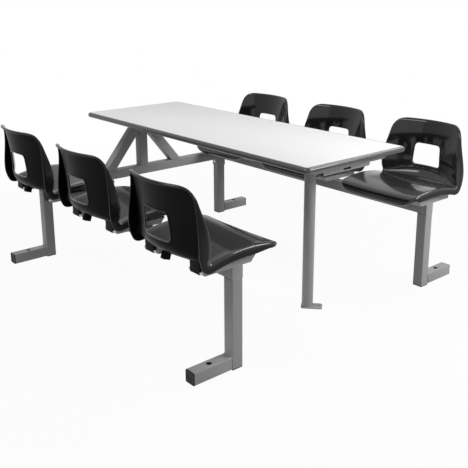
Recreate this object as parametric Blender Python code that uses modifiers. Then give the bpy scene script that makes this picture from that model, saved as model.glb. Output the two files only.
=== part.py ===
# A canteen table with two fixed benches of three shell seats, all on one floor frame.
# +X runs to the table's end with the single round leg, +Y to the right bench, +Z up.
# The origin is on the floor below the middle of the table top. Metres throughout.
import math

import bmesh
import bpy
from mathutils import Matrix, Vector

# Gap left between pieces that touch
CLEARANCE = 0.0003

# Seat rows: three seats a side, each on two bearers across the rail
SEAT_PITCH = 0.580
BEARER_INSET = 0.0355
BEARER_WIDTH = 0.085
BEARER_HEIGHT = 0.025
BEARER_LENGTH = 0.217
BEARER_NOSE = 0.021
BEARER_OUTSET = 0.040
BEARER_WALL = 0.002

# Square tube of the floor frame
SECTION = 0.050
WALL = 0.0025
TUBE_CORNER = 0.004
RAIL_SPACING = 1.170
RAIL_TOP = 0.410
END_PLATE = 0.003
FAR_LEG_OVERRUN = 0.0505
BEAM_SETBACK = 0.030

# Feet and their plastic inserts
FOOT_LENGTH = 0.176
FOOT_LIFT = 0.0045
FLOOR_HOLE_INSET = 0.084
ACCESS_HOLE = 0.022
BOLT_HOLE = 0.011
CAP_FLANGE = 0.004
CAP_DEPTH = 0.018

# Sleeve and set bolt where the cross beam's end meets the far right upright
SOCKET_HEIGHT = 0.050
SOCKET_WALL = 0.004
SET_BOLT = 0.008
BOLT_HEAD = 0.015
BOLT_HEAD_HEIGHT = 0.006

# Table top, its lipping and what is screwed below it
TOP_HEIGHT = 0.734
TOP_WIDTH = 0.600
TOP_THICKNESS = 0.025
TOP_OVERHANG = 0.010
BOARD_CORNER = 0.008
EDGE_FLAT = 0.002
EDGE_NOSE = 0.0125
TOP_BEARER_WIDTH = 0.080
TOP_BEARER_HEIGHT = 0.022
TOP_BEARER_INSET = 0.075
NEAR_BEARER_INSET = 0.045
FAR_BEARER_GAP = 0.010
SLOT_RAIL_LENGTH = 0.280
SLOT_RAIL_WIDTH = 0.040
SLOT_RAIL_HEIGHT = 0.022
SLOT_LENGTH = 0.046
SLOT_WIDTH = 0.008
SLOT_CORNER = 0.0039

# King post and braces below the top's far end
HEAD_PLATE_LENGTH = 0.070
HEAD_PLATE_WIDTH = 0.160
PLATE_THICKNESS = 0.005
PLATE_CORNER = 0.006
BRACE_FOOT = 0.220
BRACE_DROP = 0.054

# Round leg
LEG_DIAMETER = 0.050
LEG_WALL = 0.002
LEG_INSET = 0.268
LEG_HEAD = 0.130
TAB_WIDTH = 0.052
TAB_REACH = 0.066
TAB_TAIL = 0.028
TAB_CORNER = 0.008
TAB_HOLE = 0.011
TAB_HOLE_INSET = 0.018
TAB_TURN = math.radians(42)

# Seat shell: its middle line is a chain of arcs from the front lip to the top of the back
SEAT_WIDTH = 0.440
BACK_WIDTH = 0.385
SEAT_SETBACK = 0.185
SHELL_WALL = 0.0045
PAN_GAP = 0.018
LIP_HEADING = math.radians(100)
PAN_FRONT_HEADING = math.radians(11)
PAN_REAR_HEADING = math.radians(-15)
BACK_FOOT_HEADING = math.radians(90)
BACK_HEAD_HEADING = math.radians(78)
TOP_LIP_HEADING = math.radians(40)
FRONT_ROLL = 0.034
PAN_CROWN = 0.665
BEND_RADIUS = 0.062
BACK_SWEEP = 1.004
TOP_ROLL = 0.028
PAN_DISH = 0.008
BACK_DISH = 0.072
TOP_DISH = 0.046
FRONT_CORNER = 0.080
TOP_CORNER = 0.060
RIM_RADIUS = 0.008
RIM_FRONT = 0.012
RIM_PAN = 0.036
RIM_BEND = 0.047
RIM_BACK = 0.058
RIM_TOP = 0.013
HAND_HOLE_WIDTH = 0.146
HAND_HOLE_TAPER = 0.013
HAND_HOLE_HEIGHT = 0.106
HAND_HOLE_RISE = 0.065
HAND_HOLE_CORNER = 0.016
BOSS_WIDTH = 0.040
BOSS_LENGTH = 0.036
BOSS_AHEAD = 0.075
BOSS_INSET = 0.006
LUG_WIDTH = 0.060
LUG_LENGTH = 0.013
LUG_DROP = 0.022

# Faces along the shell and across it, and steps of round corners
SHELL_COLUMNS = 8
CORNER_STEPS = 3
PAN_STEPS = 3
BEND_STEPS = 4
BACK_STEPS = 3
TUBE_STEPS = 2
ROUND_STEPS = 24
BOLT_SIDES = 6

# Working values: weld distance, probe for slopes, halvings of a search, angle of a hard edge
WELD = 0.000001
PROBE = 0.0005
HALVINGS = 40
SHARP_EDGE = math.radians(35)

# Places worked out from the sizes above
BEARER_SPREAD = SEAT_WIDTH - BEARER_WIDTH - 2 * BEARER_INSET
OUTER_BEARER = SEAT_PITCH + BEARER_SPREAD / 2
RAIL_NEAR_END = OUTER_BEARER + BEARER_WIDTH / 2
RAIL_FAR_END = -RAIL_NEAR_END - FAR_LEG_OVERRUN
NEAR_LEG_X = RAIL_NEAR_END - SECTION / 2
FAR_LEG_X = RAIL_FAR_END + SECTION / 2
BEAM_X = FAR_LEG_X + BEAM_SETBACK
HALF_TOP = TOP_OVERHANG - RAIL_FAR_END
UNDERSIDE = TOP_HEIGHT - TOP_THICKNESS
RAIL_Y = RAIL_SPACING / 2
RAIL_BOTTOM = RAIL_TOP - SECTION
BEARER_TOP = RAIL_TOP + CLEARANCE + BEARER_HEIGHT
EDGE_DEPTH = EDGE_FLAT + EDGE_NOSE
SEAT_FRONT = RAIL_Y - SEAT_SETBACK
SIDES = {"left": -1, "right": 1}
PLACES = {"far": -1, "mid": 0, "near": 1}


# Scene, collections and finishes
def clear_scene():
    for obj in list(bpy.data.objects):
        bpy.data.objects.remove(obj, do_unlink=True)


def new_collection(name):
    collection = bpy.data.collections.new(name)
    bpy.context.scene.collection.children.link(collection)
    return collection


def finish(name, colour, roughness, metallic):
    material = bpy.data.materials.new(name)
    material.use_nodes = True
    shader = material.node_tree.nodes["Principled BSDF"]
    shader.inputs["Base Color"].default_value = (*colour, 1.0)
    shader.inputs["Roughness"].default_value = roughness
    shader.inputs["Metallic"].default_value = metallic
    return material


clear_scene()
PARTS = new_collection("canteen_table_with_seats")
CUTTERS = new_collection("cutters")
STEEL_PAINT = finish("grey_painted_steel", (0.21, 0.21, 0.22), 0.42, 0.1)
SHELL_BLACK = finish("black_gloss_plastic", (0.012, 0.012, 0.013), 0.2, 0.0)
CAP_BLACK = finish("black_insert_plastic", (0.02, 0.02, 0.02), 0.5, 0.0)
TOP_WHITE = finish("white_laminate", (0.82, 0.82, 0.81), 0.35, 0.0)
EDGE_GREY = finish("grey_edge_lipping", (0.42, 0.42, 0.43), 0.45, 0.0)
BOLT_ZINC = finish("zinc_plated_steel", (0.45, 0.45, 0.46), 0.35, 0.9)


def add_part(name, mesh, material, matrix=None):
    if not mesh.materials:
        mesh.materials.append(material)
    obj = bpy.data.objects.new(name, mesh)
    PARTS.objects.link(obj)
    obj.matrix_world = matrix or Matrix()
    return obj


def add_cutter(name, mesh, matrix=None):
    obj = bpy.data.objects.new(name, mesh)
    CUTTERS.objects.link(obj)
    obj.matrix_world = matrix or Matrix()
    obj.hide_render = True
    obj.display_type = "WIRE"
    return obj


# Outlines, as lists of points in a plane
def rounded_rectangle(width, height, radius, steps):
    points = []
    for quarter in range(4):
        sx, sy = ((1, 1), (-1, 1), (-1, -1), (1, -1))[quarter]
        centre = Vector((sx * (width / 2 - radius), sy * (height / 2 - radius)))
        for step in range(steps + 1):
            angle = math.pi / 2 * (quarter + step / steps)
            points.append(centre + radius * Vector((math.cos(angle), math.sin(angle))))
    return points


def circle(diameter, steps=ROUND_STEPS, centre=(0, 0)):
    turn = 2 * math.pi / steps
    middle = Vector(centre)
    return [middle + diameter / 2 * Vector((math.cos(i * turn), math.sin(i * turn))) for i in range(steps)]


# Meshes
def close_mesh(bm, name):
    bmesh.ops.remove_doubles(bm, verts=bm.verts, dist=WELD)
    bmesh.ops.recalc_face_normals(bm, faces=bm.faces)
    mesh = bpy.data.meshes.new(name)
    bm.to_mesh(mesh)
    bm.free()
    return mesh


def evaluated_mesh(obj):
    bpy.context.view_layer.update()
    graph = bpy.context.evaluated_depsgraph_get()
    return bpy.data.meshes.new_from_object(obj.evaluated_get(graph))


def extruded(name, outlines, depth):
    # Fills the outlines, holes included, and gives them a depth from z = 0 upwards
    curve = bpy.data.curves.new(name, "CURVE")
    curve.dimensions = "2D"
    curve.fill_mode = "BOTH"
    curve.extrude = depth / 2
    for outline in outlines:
        spline = curve.splines.new("POLY")
        spline.points.add(len(outline) - 1)
        spline.use_cyclic_u = True
        for point, place in zip(spline.points, outline):
            point.co = (place[0], place[1], 0, 1)
    guide = add_cutter(name, curve)
    bm = bmesh.new()
    bm.from_mesh(evaluated_mesh(guide))
    bpy.data.objects.remove(guide)
    bmesh.ops.translate(bm, verts=bm.verts, vec=(0, 0, depth / 2))
    return close_mesh(bm, name)


def stacked(name, sections):
    # Solid through outlines of equal point count, each at its own height
    bm = bmesh.new()
    rings = [[bm.verts.new((p[0], p[1], height)) for p in outline] for outline, height in sections]
    for low, high in zip(rings, rings[1:]):
        for i in range(len(low)):
            bm.faces.new((low[i - 1], low[i], high[i], high[i - 1]))
    bm.faces.new(rings[0])
    bm.faces.new(rings[-1])
    return close_mesh(bm, name)


def tube(name, width, height, wall, length, start_slope=0.0, end_slope=0.0):
    # Hollow section along local Z, with its ends cut on a slope across local Y
    outer = rounded_rectangle(width, height, TUBE_CORNER, TUBE_STEPS)
    bore = max(TUBE_CORNER - wall, wall / 2)
    inner = rounded_rectangle(width - 2 * wall, height - 2 * wall, bore, TUBE_STEPS)
    mesh = extruded(name, [outer, inner], length)
    for vertex in mesh.vertices:
        slope = end_slope if vertex.co.z > length / 2 else start_slope
        vertex.co.z += slope * vertex.co.y
    return mesh


def cut(mesh, cutter):
    # Takes the cutter's shape out of the mesh
    work = bpy.data.objects.new(mesh.name, mesh)
    CUTTERS.objects.link(work)
    knife = work.modifiers.new("cut", "BOOLEAN")
    knife.operation = "DIFFERENCE"
    knife.solver = "EXACT"
    knife.object = cutter
    result = evaluated_mesh(work)
    bpy.data.objects.remove(work)
    return result


def frame(origin, x_axis, y_axis):
    # Matrix that puts local X and Y along the two given directions
    x = Vector(x_axis).normalized()
    y = Vector(y_axis).normalized()
    z = x.cross(y)
    matrix = Matrix((x, y, z)).transposed().to_4x4()
    matrix.translation = Vector(origin)
    return matrix


# Table top
def build_top():
    board_length = 2 * (HALF_TOP - EDGE_DEPTH) - 2 * CLEARANCE
    board_width = TOP_WIDTH - 2 * EDGE_DEPTH - 2 * CLEARANCE
    board = rounded_rectangle(board_length, board_width, BOARD_CORNER, CORNER_STEPS)
    add_part("tabletop_board", extruded("tabletop_board", [board], TOP_THICKNESS), TOP_WHITE,
             Matrix.Translation((0, 0, UNDERSIDE)))
    add_part("tabletop_edge", edge_lipping(), EDGE_GREY, Matrix.Translation((0, 0, UNDERSIDE)))


def edge_lipping():
    # Half-round lipping swept round the board: a flat back and a full nose
    nose_steps = 2 * CORNER_STEPS
    offsets = [(0.0, 0.0)]
    for step in range(nose_steps + 1):
        angle = math.pi * (step / nose_steps - 0.5)
        rise = TOP_THICKNESS / 2 * (1 + math.sin(angle))
        offsets.append((EDGE_FLAT + EDGE_NOSE * math.cos(angle), rise))
    offsets.append((0.0, TOP_THICKNESS))
    loops = []
    for out, rise in offsets:
        length = 2 * (HALF_TOP - EDGE_DEPTH + out)
        width = TOP_WIDTH - 2 * (EDGE_DEPTH - out)
        outline = rounded_rectangle(length, width, BOARD_CORNER + out, CORNER_STEPS)
        loops.append([(p[0], p[1], rise) for p in outline])
    bm = bmesh.new()
    rings = [[bm.verts.new(p) for p in loop] for loop in loops]
    for k in range(len(rings)):
        low, high = rings[k - 1], rings[k]
        for i in range(len(low)):
            bm.faces.new((low[i - 1], low[i], high[i], high[i - 1]))
    return close_mesh(bm, "tabletop_edge")


def bearer_bar():
    # Bar across the underside whose lower corners are rounded off at both ends
    half = TOP_WIDTH / 2 - TOP_BEARER_INSET
    outline = []
    for side in (-1, 1):
        for step in range(CORNER_STEPS + 1):
            angle = math.pi / 2 * (step / CORNER_STEPS if side < 0 else 1 - step / CORNER_STEPS)
            y = half - TOP_BEARER_HEIGHT * (1 - math.cos(angle))
            outline.append(Vector((side * y, -TOP_BEARER_HEIGHT * math.sin(angle))))
    return extruded("top_bearer", [outline], TOP_BEARER_WIDTH)


def build_top_bearers():
    top = UNDERSIDE - CLEARANCE
    mesh = bearer_bar()
    near_x = HALF_TOP - NEAR_BEARER_INSET
    far_x = BEAM_X + HEAD_PLATE_LENGTH / 2 + FAR_BEARER_GAP + TOP_BEARER_WIDTH
    for name, end in (("near_top_bearer", near_x), ("far_top_bearer", far_x)):
        add_part(name, mesh, STEEL_PAINT, frame((end - TOP_BEARER_WIDTH, 0, top), (0, 1, 0), (0, 0, 1)))
    rail = tube("slotted_rail", SLOT_RAIL_WIDTH, SLOT_RAIL_HEIGHT, WALL, SLOT_RAIL_LENGTH)
    slot = rounded_rectangle(SLOT_WIDTH, SLOT_LENGTH, SLOT_CORNER, CORNER_STEPS)
    reach = 2 * SLOT_RAIL_WIDTH
    cutter = add_cutter("slot_cutter", extruded("slot_cutter", [slot], reach),
                        frame((-reach / 2, 0, SLOT_RAIL_LENGTH / 2), (0, 1, 0), (0, 0, 1)))
    rail = cut(rail, cutter)
    rail_x = near_x - TOP_BEARER_WIDTH / 2
    rail_z = top - TOP_BEARER_HEIGHT - CLEARANCE - SLOT_RAIL_HEIGHT / 2
    add_part("slotted_rail", rail, STEEL_PAINT,
             frame((rail_x, -SLOT_RAIL_LENGTH / 2, rail_z), (-1, 0, 0), (0, 0, 1)))


# Round leg
def build_round_leg():
    leg_x = HALF_TOP - LEG_INSET
    head_bottom = UNDERSIDE - CLEARANCE - PLATE_THICKNESS
    head = rounded_rectangle(LEG_HEAD, LEG_HEAD, PLATE_CORNER, CORNER_STEPS)
    add_part("round_leg_head", extruded("round_leg_head", [head], PLATE_THICKNESS), STEEL_PAINT,
             Matrix.Translation((leg_x, 0, head_bottom)))
    leg_bottom = PLATE_THICKNESS + CLEARANCE
    ring = [circle(LEG_DIAMETER), circle(LEG_DIAMETER - 2 * LEG_WALL)]
    add_part("round_leg", extruded("round_leg", ring, head_bottom - CLEARANCE - leg_bottom), STEEL_PAINT,
             Matrix.Translation((leg_x, 0, leg_bottom)))
    tab_length = TAB_REACH + TAB_TAIL
    middle = Vector(((TAB_REACH - TAB_TAIL) / 2, 0))
    tab = [p + middle for p in rounded_rectangle(tab_length, TAB_WIDTH, TAB_CORNER, CORNER_STEPS)]
    hole = circle(TAB_HOLE, centre=(TAB_REACH - TAB_HOLE_INSET, 0))
    add_part("round_leg_foot", extruded("round_leg_foot", [tab, hole], PLATE_THICKNESS), STEEL_PAINT,
             Matrix.Translation((leg_x, 0, 0)) @ Matrix.Rotation(TAB_TURN, 4, "Z"))


# King post, its head plate and the braces
def build_king_post():
    foot = RAIL_TOP + CLEARANCE
    plate_bottom = UNDERSIDE - CLEARANCE - PLATE_THICKNESS
    plate = rounded_rectangle(HEAD_PLATE_LENGTH, HEAD_PLATE_WIDTH, PLATE_CORNER, CORNER_STEPS)
    add_part("king_post_head", extruded("king_post_head", [plate], PLATE_THICKNESS), STEEL_PAINT,
             Matrix.Translation((BEAM_X, 0, plate_bottom)))
    post_top = plate_bottom - CLEARANCE
    add_part("king_post", tube("king_post", SECTION, SECTION, WALL, post_top - foot), STEEL_PAINT,
             Matrix.Translation((BEAM_X, 0, foot)))
    head_y = SECTION / 2 + CLEARANCE
    rise = post_top - BRACE_DROP - foot
    run = BRACE_FOOT - head_y
    lean = math.atan2(run, rise)
    mesh = tube("brace", SECTION, SECTION, WALL, math.hypot(run, rise), -math.tan(lean), 1 / math.tan(lean))
    for side, sign in SIDES.items():
        across = (0, sign * math.cos(lean), math.sin(lean))
        add_part(f"{side}_brace", mesh, STEEL_PAINT,
                 frame((BEAM_X, sign * BRACE_FOOT, foot), (sign, 0, 0), across))


# Cross beam, seat rails and their end plates
def build_rails():
    beam_length = RAIL_SPACING - SECTION - 2 * CLEARANCE
    middle = RAIL_TOP - SECTION / 2
    add_part("cross_beam", tube("cross_beam", SECTION, SECTION, WALL, beam_length), STEEL_PAINT,
             frame((BEAM_X, -beam_length / 2, middle), (-1, 0, 0), (0, 0, 1)))
    start = RAIL_FAR_END + END_PLATE + CLEARANCE
    end = RAIL_NEAR_END - END_PLATE - CLEARANCE
    rail = tube("seat_rail", SECTION, SECTION, WALL, end - start)
    outline = rounded_rectangle(SECTION, SECTION, TUBE_CORNER, TUBE_STEPS)
    plate = extruded("rail_end_plate", [outline], END_PLATE)
    for side, sign in SIDES.items():
        y = sign * RAIL_Y
        add_part(f"{side}_seat_rail", rail, STEEL_PAINT, frame((start, y, middle), (0, 1, 0), (0, 0, 1)))
        for place, x in (("far", RAIL_FAR_END), ("near", RAIL_NEAR_END - END_PLATE)):
            add_part(f"{side}_{place}_rail_end_plate", plate, STEEL_PAINT,
                     frame((x, y, middle), (0, 1, 0), (0, 0, 1)))


# Uprights, feet and their inserts
def insert_plug(name):
    # Flange the size of the tube, and a stem that fits inside it
    bore = SECTION - 2 * WALL - 2 * CLEARANCE
    flange = rounded_rectangle(SECTION, SECTION, TUBE_CORNER, TUBE_STEPS)
    stem = rounded_rectangle(bore, bore, max(TUBE_CORNER - WALL, WALL / 2), TUBE_STEPS)
    seat = CAP_FLANGE
    return stacked(name, [(flange, 0), (flange, seat), (stem, seat), (stem, seat + CAP_DEPTH)])


def foot_tube():
    # Tube with a wide hole through its top wall and a bolt hole through its bottom wall
    mesh = tube("foot", SECTION, SECTION, WALL, FOOT_LENGTH)
    hole = FOOT_LENGTH - FLOOR_HOLE_INSET
    drill = stacked("floor_hole_drill", [(circle(BOLT_HOLE), -SECTION), (circle(BOLT_HOLE), 0),
                                         (circle(ACCESS_HOLE), 0), (circle(ACCESS_HOLE), SECTION)])
    return cut(mesh, add_cutter("floor_hole_drill", drill, frame((0, 0, hole), (1, 0, 0), (0, 0, -1))))


def build_legs():
    plug = insert_plug("upright_plug")
    foot = foot_tube()
    bottom = CAP_FLANGE + CLEARANCE
    upright = tube("upright", SECTION, SECTION, WALL, RAIL_BOTTOM - CLEARANCE - bottom)
    foot_z = FOOT_LIFT + SECTION / 2
    for side, sign in SIDES.items():
        for place, x in (("far", FAR_LEG_X), ("near", NEAR_LEG_X)):
            y = sign * RAIL_Y
            add_part(f"{side}_{place}_upright", upright, STEEL_PAINT, Matrix.Translation((x, y, bottom)))
            add_part(f"{side}_{place}_upright_plug", plug, CAP_BLACK, Matrix.Translation((x, y, 0)))
            inner = y + sign * (SECTION / 2 + CLEARANCE)
            add_part(f"{side}_{place}_foot", foot, STEEL_PAINT,
                     frame((x, inner, foot_z), (-sign, 0, 0), (0, 0, 1)))
            outer = inner + sign * (FOOT_LENGTH + CLEARANCE + CAP_FLANGE)
            add_part(f"{side}_{place}_foot_cap", plug, CAP_BLACK,
                     frame((x, outer, foot_z), (sign, 0, 0), (0, 0, 1)))


# Sleeve round the far right upright, held by a set bolt from the table side
def build_socket():
    inner = SECTION + 2 * CLEARANCE
    outer = inner + 2 * SOCKET_WALL
    walls = [rounded_rectangle(outer, outer, TUBE_CORNER + SOCKET_WALL, TUBE_STEPS),
             rounded_rectangle(inner, inner, TUBE_CORNER, TUBE_STEPS)]
    sleeve = extruded("beam_socket", walls, SOCKET_HEIGHT)
    bore = circle(SET_BOLT + 2 * CLEARANCE)
    drill = add_cutter("set_bolt_drill", extruded("set_bolt_drill", [bore], SECTION),
                       frame((0, -SECTION, SOCKET_HEIGHT / 2), (1, 0, 0), (0, 0, -1)))
    bottom = RAIL_BOTTOM - CLEARANCE - SOCKET_HEIGHT
    add_part("beam_socket", cut(sleeve, drill), STEEL_PAINT, Matrix.Translation((FAR_LEG_X, RAIL_Y, bottom)))
    head = circle(BOLT_HEAD, BOLT_SIDES)
    shank = circle(SET_BOLT, BOLT_SIDES)
    bolt = stacked("socket_set_bolt", [(head, 0), (head, BOLT_HEAD_HEIGHT), (shank, BOLT_HEAD_HEIGHT),
                                       (shank, BOLT_HEAD_HEIGHT + CLEARANCE + SOCKET_WALL)])
    face = RAIL_Y - outer / 2 - CLEARANCE - BOLT_HEAD_HEIGHT
    add_part("socket_set_bolt", bolt, BOLT_ZINC,
             frame((FAR_LEG_X, face, bottom + SOCKET_HEIGHT / 2), (1, 0, 0), (0, 0, -1)))


# Seat bearers: pressed trays, open below, whose front ends slant up and outwards
def bearer_tray():
    slant = BEARER_NOSE / BEARER_HEIGHT

    def side_view(low, high, front_inset, rear_inset):
        front = front_inset - BEARER_LENGTH / 2
        rear = BEARER_LENGTH / 2 - rear_inset
        return [(front - slant * low, low), (rear, low), (rear, high), (front - slant * high, high)]

    tray = extruded("seat_bearer", [side_view(0, BEARER_HEIGHT, 0, 0)], BEARER_WIDTH)
    front_wall = BEARER_WALL * math.hypot(1, slant)
    hollow = side_view(-BEARER_WALL, BEARER_HEIGHT - BEARER_WALL, front_wall, BEARER_WALL)
    room = add_cutter("bearer_hollow", extruded("bearer_hollow", [hollow], BEARER_WIDTH - 2 * BEARER_WALL),
                      Matrix.Translation((0, 0, BEARER_WALL)))
    return cut(tray, room)


def build_bearers():
    mesh = bearer_tray()
    for side, sign in SIDES.items():
        y = sign * (RAIL_Y + BEARER_OUTSET)
        for place, step in PLACES.items():
            for end, half in (("far", -0.5), ("near", 0.5)):
                x = step * SEAT_PITCH + half * BEARER_SPREAD - sign * BEARER_WIDTH / 2
                add_part(f"seat_bearer_{side}_{place}_{end}", mesh, STEEL_PAINT,
                         frame((x, y, RAIL_TOP + CLEARANCE), (0, sign, 0), (0, 0, 1)))


# Seat shell
def shell_arcs():
    return [(FRONT_ROLL, LIP_HEADING, PAN_FRONT_HEADING),
            (PAN_CROWN, PAN_FRONT_HEADING, PAN_REAR_HEADING),
            (BEND_RADIUS, PAN_REAR_HEADING, BACK_FOOT_HEADING),
            (BACK_SWEEP, BACK_FOOT_HEADING, BACK_HEAD_HEADING),
            (TOP_ROLL, BACK_HEAD_HEADING, TOP_LIP_HEADING)]


def arc_lengths():
    return [radius * abs(end - start) for radius, start, end in shell_arcs()]


def middle_line(along):
    # Depth, height and heading at a length along the chain of arcs
    depth = height = 0.0
    for (radius, start, end), length in zip(shell_arcs(), arc_lengths()):
        last = (radius, start, end) == shell_arcs()[-1]
        part = along if last else min(along, length)
        sense = 1 if end > start else -1
        heading = start + sense * part / radius
        depth += sense * radius * (math.sin(heading) - math.sin(start))
        height += sense * radius * (math.cos(start) - math.cos(heading))
        along -= part
        if along <= 0:
            break
    return depth, height, heading


def shell_length():
    return sum(arc_lengths())


def ramp(along, stops):
    # Smooth steps between (length, value) stops
    for (a, low), (b, high) in zip(stops, stops[1:]):
        if along <= b:
            t = max(0.0, (along - a) / (b - a))
            return low + (high - low) * t * t * (3 - 2 * t)
    return stops[-1][1]


def bend_span():
    lengths = arc_lengths()
    return lengths[0] + lengths[1], lengths[0] + lengths[1] + lengths[2]


def full_half_width(along):
    stops = [(0, SEAT_WIDTH / 2), (bend_span()[1], SEAT_WIDTH / 2), (shell_length(), BACK_WIDTH / 2)]
    return ramp(along, stops) - RIM_RADIUS


def half_width(along):
    # Full width less the rounding of the front and top corners
    width = full_half_width(along)
    for radius, gap in ((FRONT_CORNER, along), (TOP_CORNER, shell_length() - along)):
        if gap < radius:
            width -= radius - math.sqrt(max(0.0, radius ** 2 - (radius - gap) ** 2))
    return width


def dish(along):
    start, end = bend_span()
    return ramp(along, [(0, 0), (arc_lengths()[0], PAN_DISH / 2), (start, PAN_DISH), (end, BACK_DISH),
                        (shell_length(), TOP_DISH)])


def rim_depth(along):
    start, end = bend_span()
    stops = [(0, RIM_FRONT), (start / 2, RIM_PAN), (start, RIM_PAN), ((start + end) / 2, RIM_BEND),
             (end, RIM_BACK), (shell_length(), RIM_TOP)]
    return ramp(along, stops)


def dish_heading(along):
    # The sides rise square to the pan, and come level towards the sitter all the way up the back
    start, end = bend_span()
    if along > end:
        return math.pi / 2
    return middle_line(along)[2] + ramp(along, [(start, 0), (end, math.pi / 2 - BACK_FOOT_HEADING)])


def shell_point(x, along):
    depth, height, _ = middle_line(along)
    lift = dish(along) * (x / full_half_width(along)) ** 2
    lean = dish_heading(along)
    return Vector((x, depth - lift * math.sin(lean), height + lift * math.cos(lean)))


def shell_axes(x, along):
    # Tangent across, tangent along, and the normal on the sitter's side
    across = (shell_point(x + PROBE, along) - shell_point(x - PROBE, along)).normalized()
    ahead = (shell_point(x, along + PROBE) - shell_point(x, along - PROBE)).normalized()
    return across, ahead, across.cross(ahead).normalized()


def shell_rows():
    # Lengths along the shell at which it has a row of points, closer together in the corners
    quarter = [math.pi / 2 * i / CORNER_STEPS for i in range(CORNER_STEPS)]
    start, end = bend_span()
    top = shell_length() - TOP_CORNER
    rows = [FRONT_CORNER * (1 - math.cos(angle)) for angle in quarter]
    spans = ((FRONT_CORNER, start, PAN_STEPS), (start, end, BEND_STEPS), (end, top, BACK_STEPS))
    for low, high, steps in spans:
        rows += [low + (high - low) * i / steps for i in range(steps)]
    return rows + [top + TOP_CORNER * math.sin(angle) for angle in quarter] + [shell_length()]


def outward(x, along):
    # Direction in which the shell's edge faces, as parts across and along
    for radius, gap, sense in ((FRONT_CORNER, along, -1), (TOP_CORNER, shell_length() - along, 1)):
        if gap < radius:
            side = abs(x) - (full_half_width(along) - radius)
            return math.copysign(max(0.0, min(1.0, side / radius)), x), sense * (radius - gap) / radius
    return math.copysign(1.0, x), 0.0


def shell_surface():
    # Dished sheet from front lip to top edge, with a rim turned back all round its edge
    rows = shell_rows()
    bm = bmesh.new()
    across_layer = bm.verts.layers.float.new("across")
    along_layer = bm.verts.layers.float.new("along")
    bmesh.ops.create_grid(bm, x_segments=SHELL_COLUMNS, y_segments=len(rows) - 1, size=0.5)
    for vertex in bm.verts:
        along = rows[round((vertex.co.y + 0.5) * (len(rows) - 1))]
        x = 2 * vertex.co.x * half_width(along)
        vertex[across_layer] = x
        vertex[along_layer] = along
        vertex.co = shell_point(x, along)
    for turn in (math.pi / 4, math.pi / 2, None):
        border = [edge for edge in bm.edges if edge.is_boundary]
        grown = bmesh.ops.extrude_edge_only(bm, edges=border)["geom"]
        for vertex in [item for item in grown if isinstance(item, bmesh.types.BMVert)]:
            x = vertex[across_layer]
            along = vertex[along_layer]
            across, ahead, normal = shell_axes(x, along)
            aside, onward = outward(x, along)
            out = (across * aside + ahead * onward).normalized()
            angle = turn or math.pi / 2
            edge = out * RIM_RADIUS * math.sin(angle) - normal * RIM_RADIUS * (1 - math.cos(angle))
            skirt = Vector() if turn else shell_axes(0, along)[2] * (rim_depth(along) - RIM_RADIUS)
            vertex.co = shell_point(x, along) + edge - skirt
    mesh = bpy.data.meshes.new("seat_shell")
    bm.to_mesh(mesh)
    bm.free()
    return mesh


def pan_low_point():
    # Height of the lowest point of the pan, where the bend's heading is level
    return middle_line(bend_span()[0] + BEND_RADIUS * abs(PAN_REAR_HEADING))[1]


def along_at_depth(x, depth):
    low, high = arc_lengths()[0], bend_span()[1]
    for _ in range(HALVINGS):
        middle = (low + high) / 2
        low, high = (middle, high) if shell_point(x, middle).y < depth else (low, middle)
    return low


def post(x, depth, width, length, floor):
    # Block from a floor height up into the wall of the pan
    bm = bmesh.new()
    corners = [(-1, -1), (1, -1), (1, 1), (-1, 1)]
    low, high = [], []
    for sx, sy in corners:
        px = x + sx * width / 2
        py = depth + sy * length / 2
        along = along_at_depth(px, py)
        top = shell_point(px, along) - shell_axes(px, along)[2] * SHELL_WALL / 2
        high.append(bm.verts.new((px, py, top.z)))
        low.append(bm.verts.new((px, py, floor)))
    for i in range(4):
        bm.faces.new((low[i - 1], low[i], high[i], high[i - 1]))
    bm.faces.new(low)
    bm.faces.new(high)
    bmesh.ops.triangulate(bm, faces=bm.faces)
    return add_cutter("shell_post", close_mesh(bm, "shell_post"))


def shell_posts(x):
    # Two bosses on a bearer's top, and a lug that hangs down behind its rear end
    floor = pan_low_point() - SHELL_WALL - PAN_GAP
    middle = RAIL_Y + BEARER_OUTSET - SEAT_FRONT
    rear = middle + BEARER_LENGTH / 2
    ahead = post(x, middle - BOSS_AHEAD, BOSS_WIDTH, BOSS_LENGTH, floor)
    behind = post(x, rear - BOSS_INSET - BOSS_LENGTH / 2, BOSS_WIDTH, BOSS_LENGTH, floor)
    lug = post(x, rear + CLEARANCE + LUG_LENGTH / 2, LUG_WIDTH, LUG_LENGTH, floor - LUG_DROP)
    return ahead, behind, lug


def hand_hole():
    # Trapezoid with rounded corners through the back, a little wider at its foot
    outline = []
    for p in rounded_rectangle(HAND_HOLE_WIDTH, HAND_HOLE_HEIGHT, HAND_HOLE_CORNER, CORNER_STEPS):
        outline.append((p[0] * (1 - HAND_HOLE_TAPER / HAND_HOLE_WIDTH * p[1] / HAND_HOLE_HEIGHT), p[1]))
    depth = middle_line((bend_span()[1] + shell_length()) / 2)[0]
    reach = 2 * BEND_RADIUS
    height = pan_low_point() + HAND_HOLE_RISE + HAND_HOLE_HEIGHT / 2
    return add_cutter("hand_hole_cutter", extruded("hand_hole_cutter", [outline], 2 * reach),
                      frame((0, depth + reach, height), (1, 0, 0), (0, 0, 1)))


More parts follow.
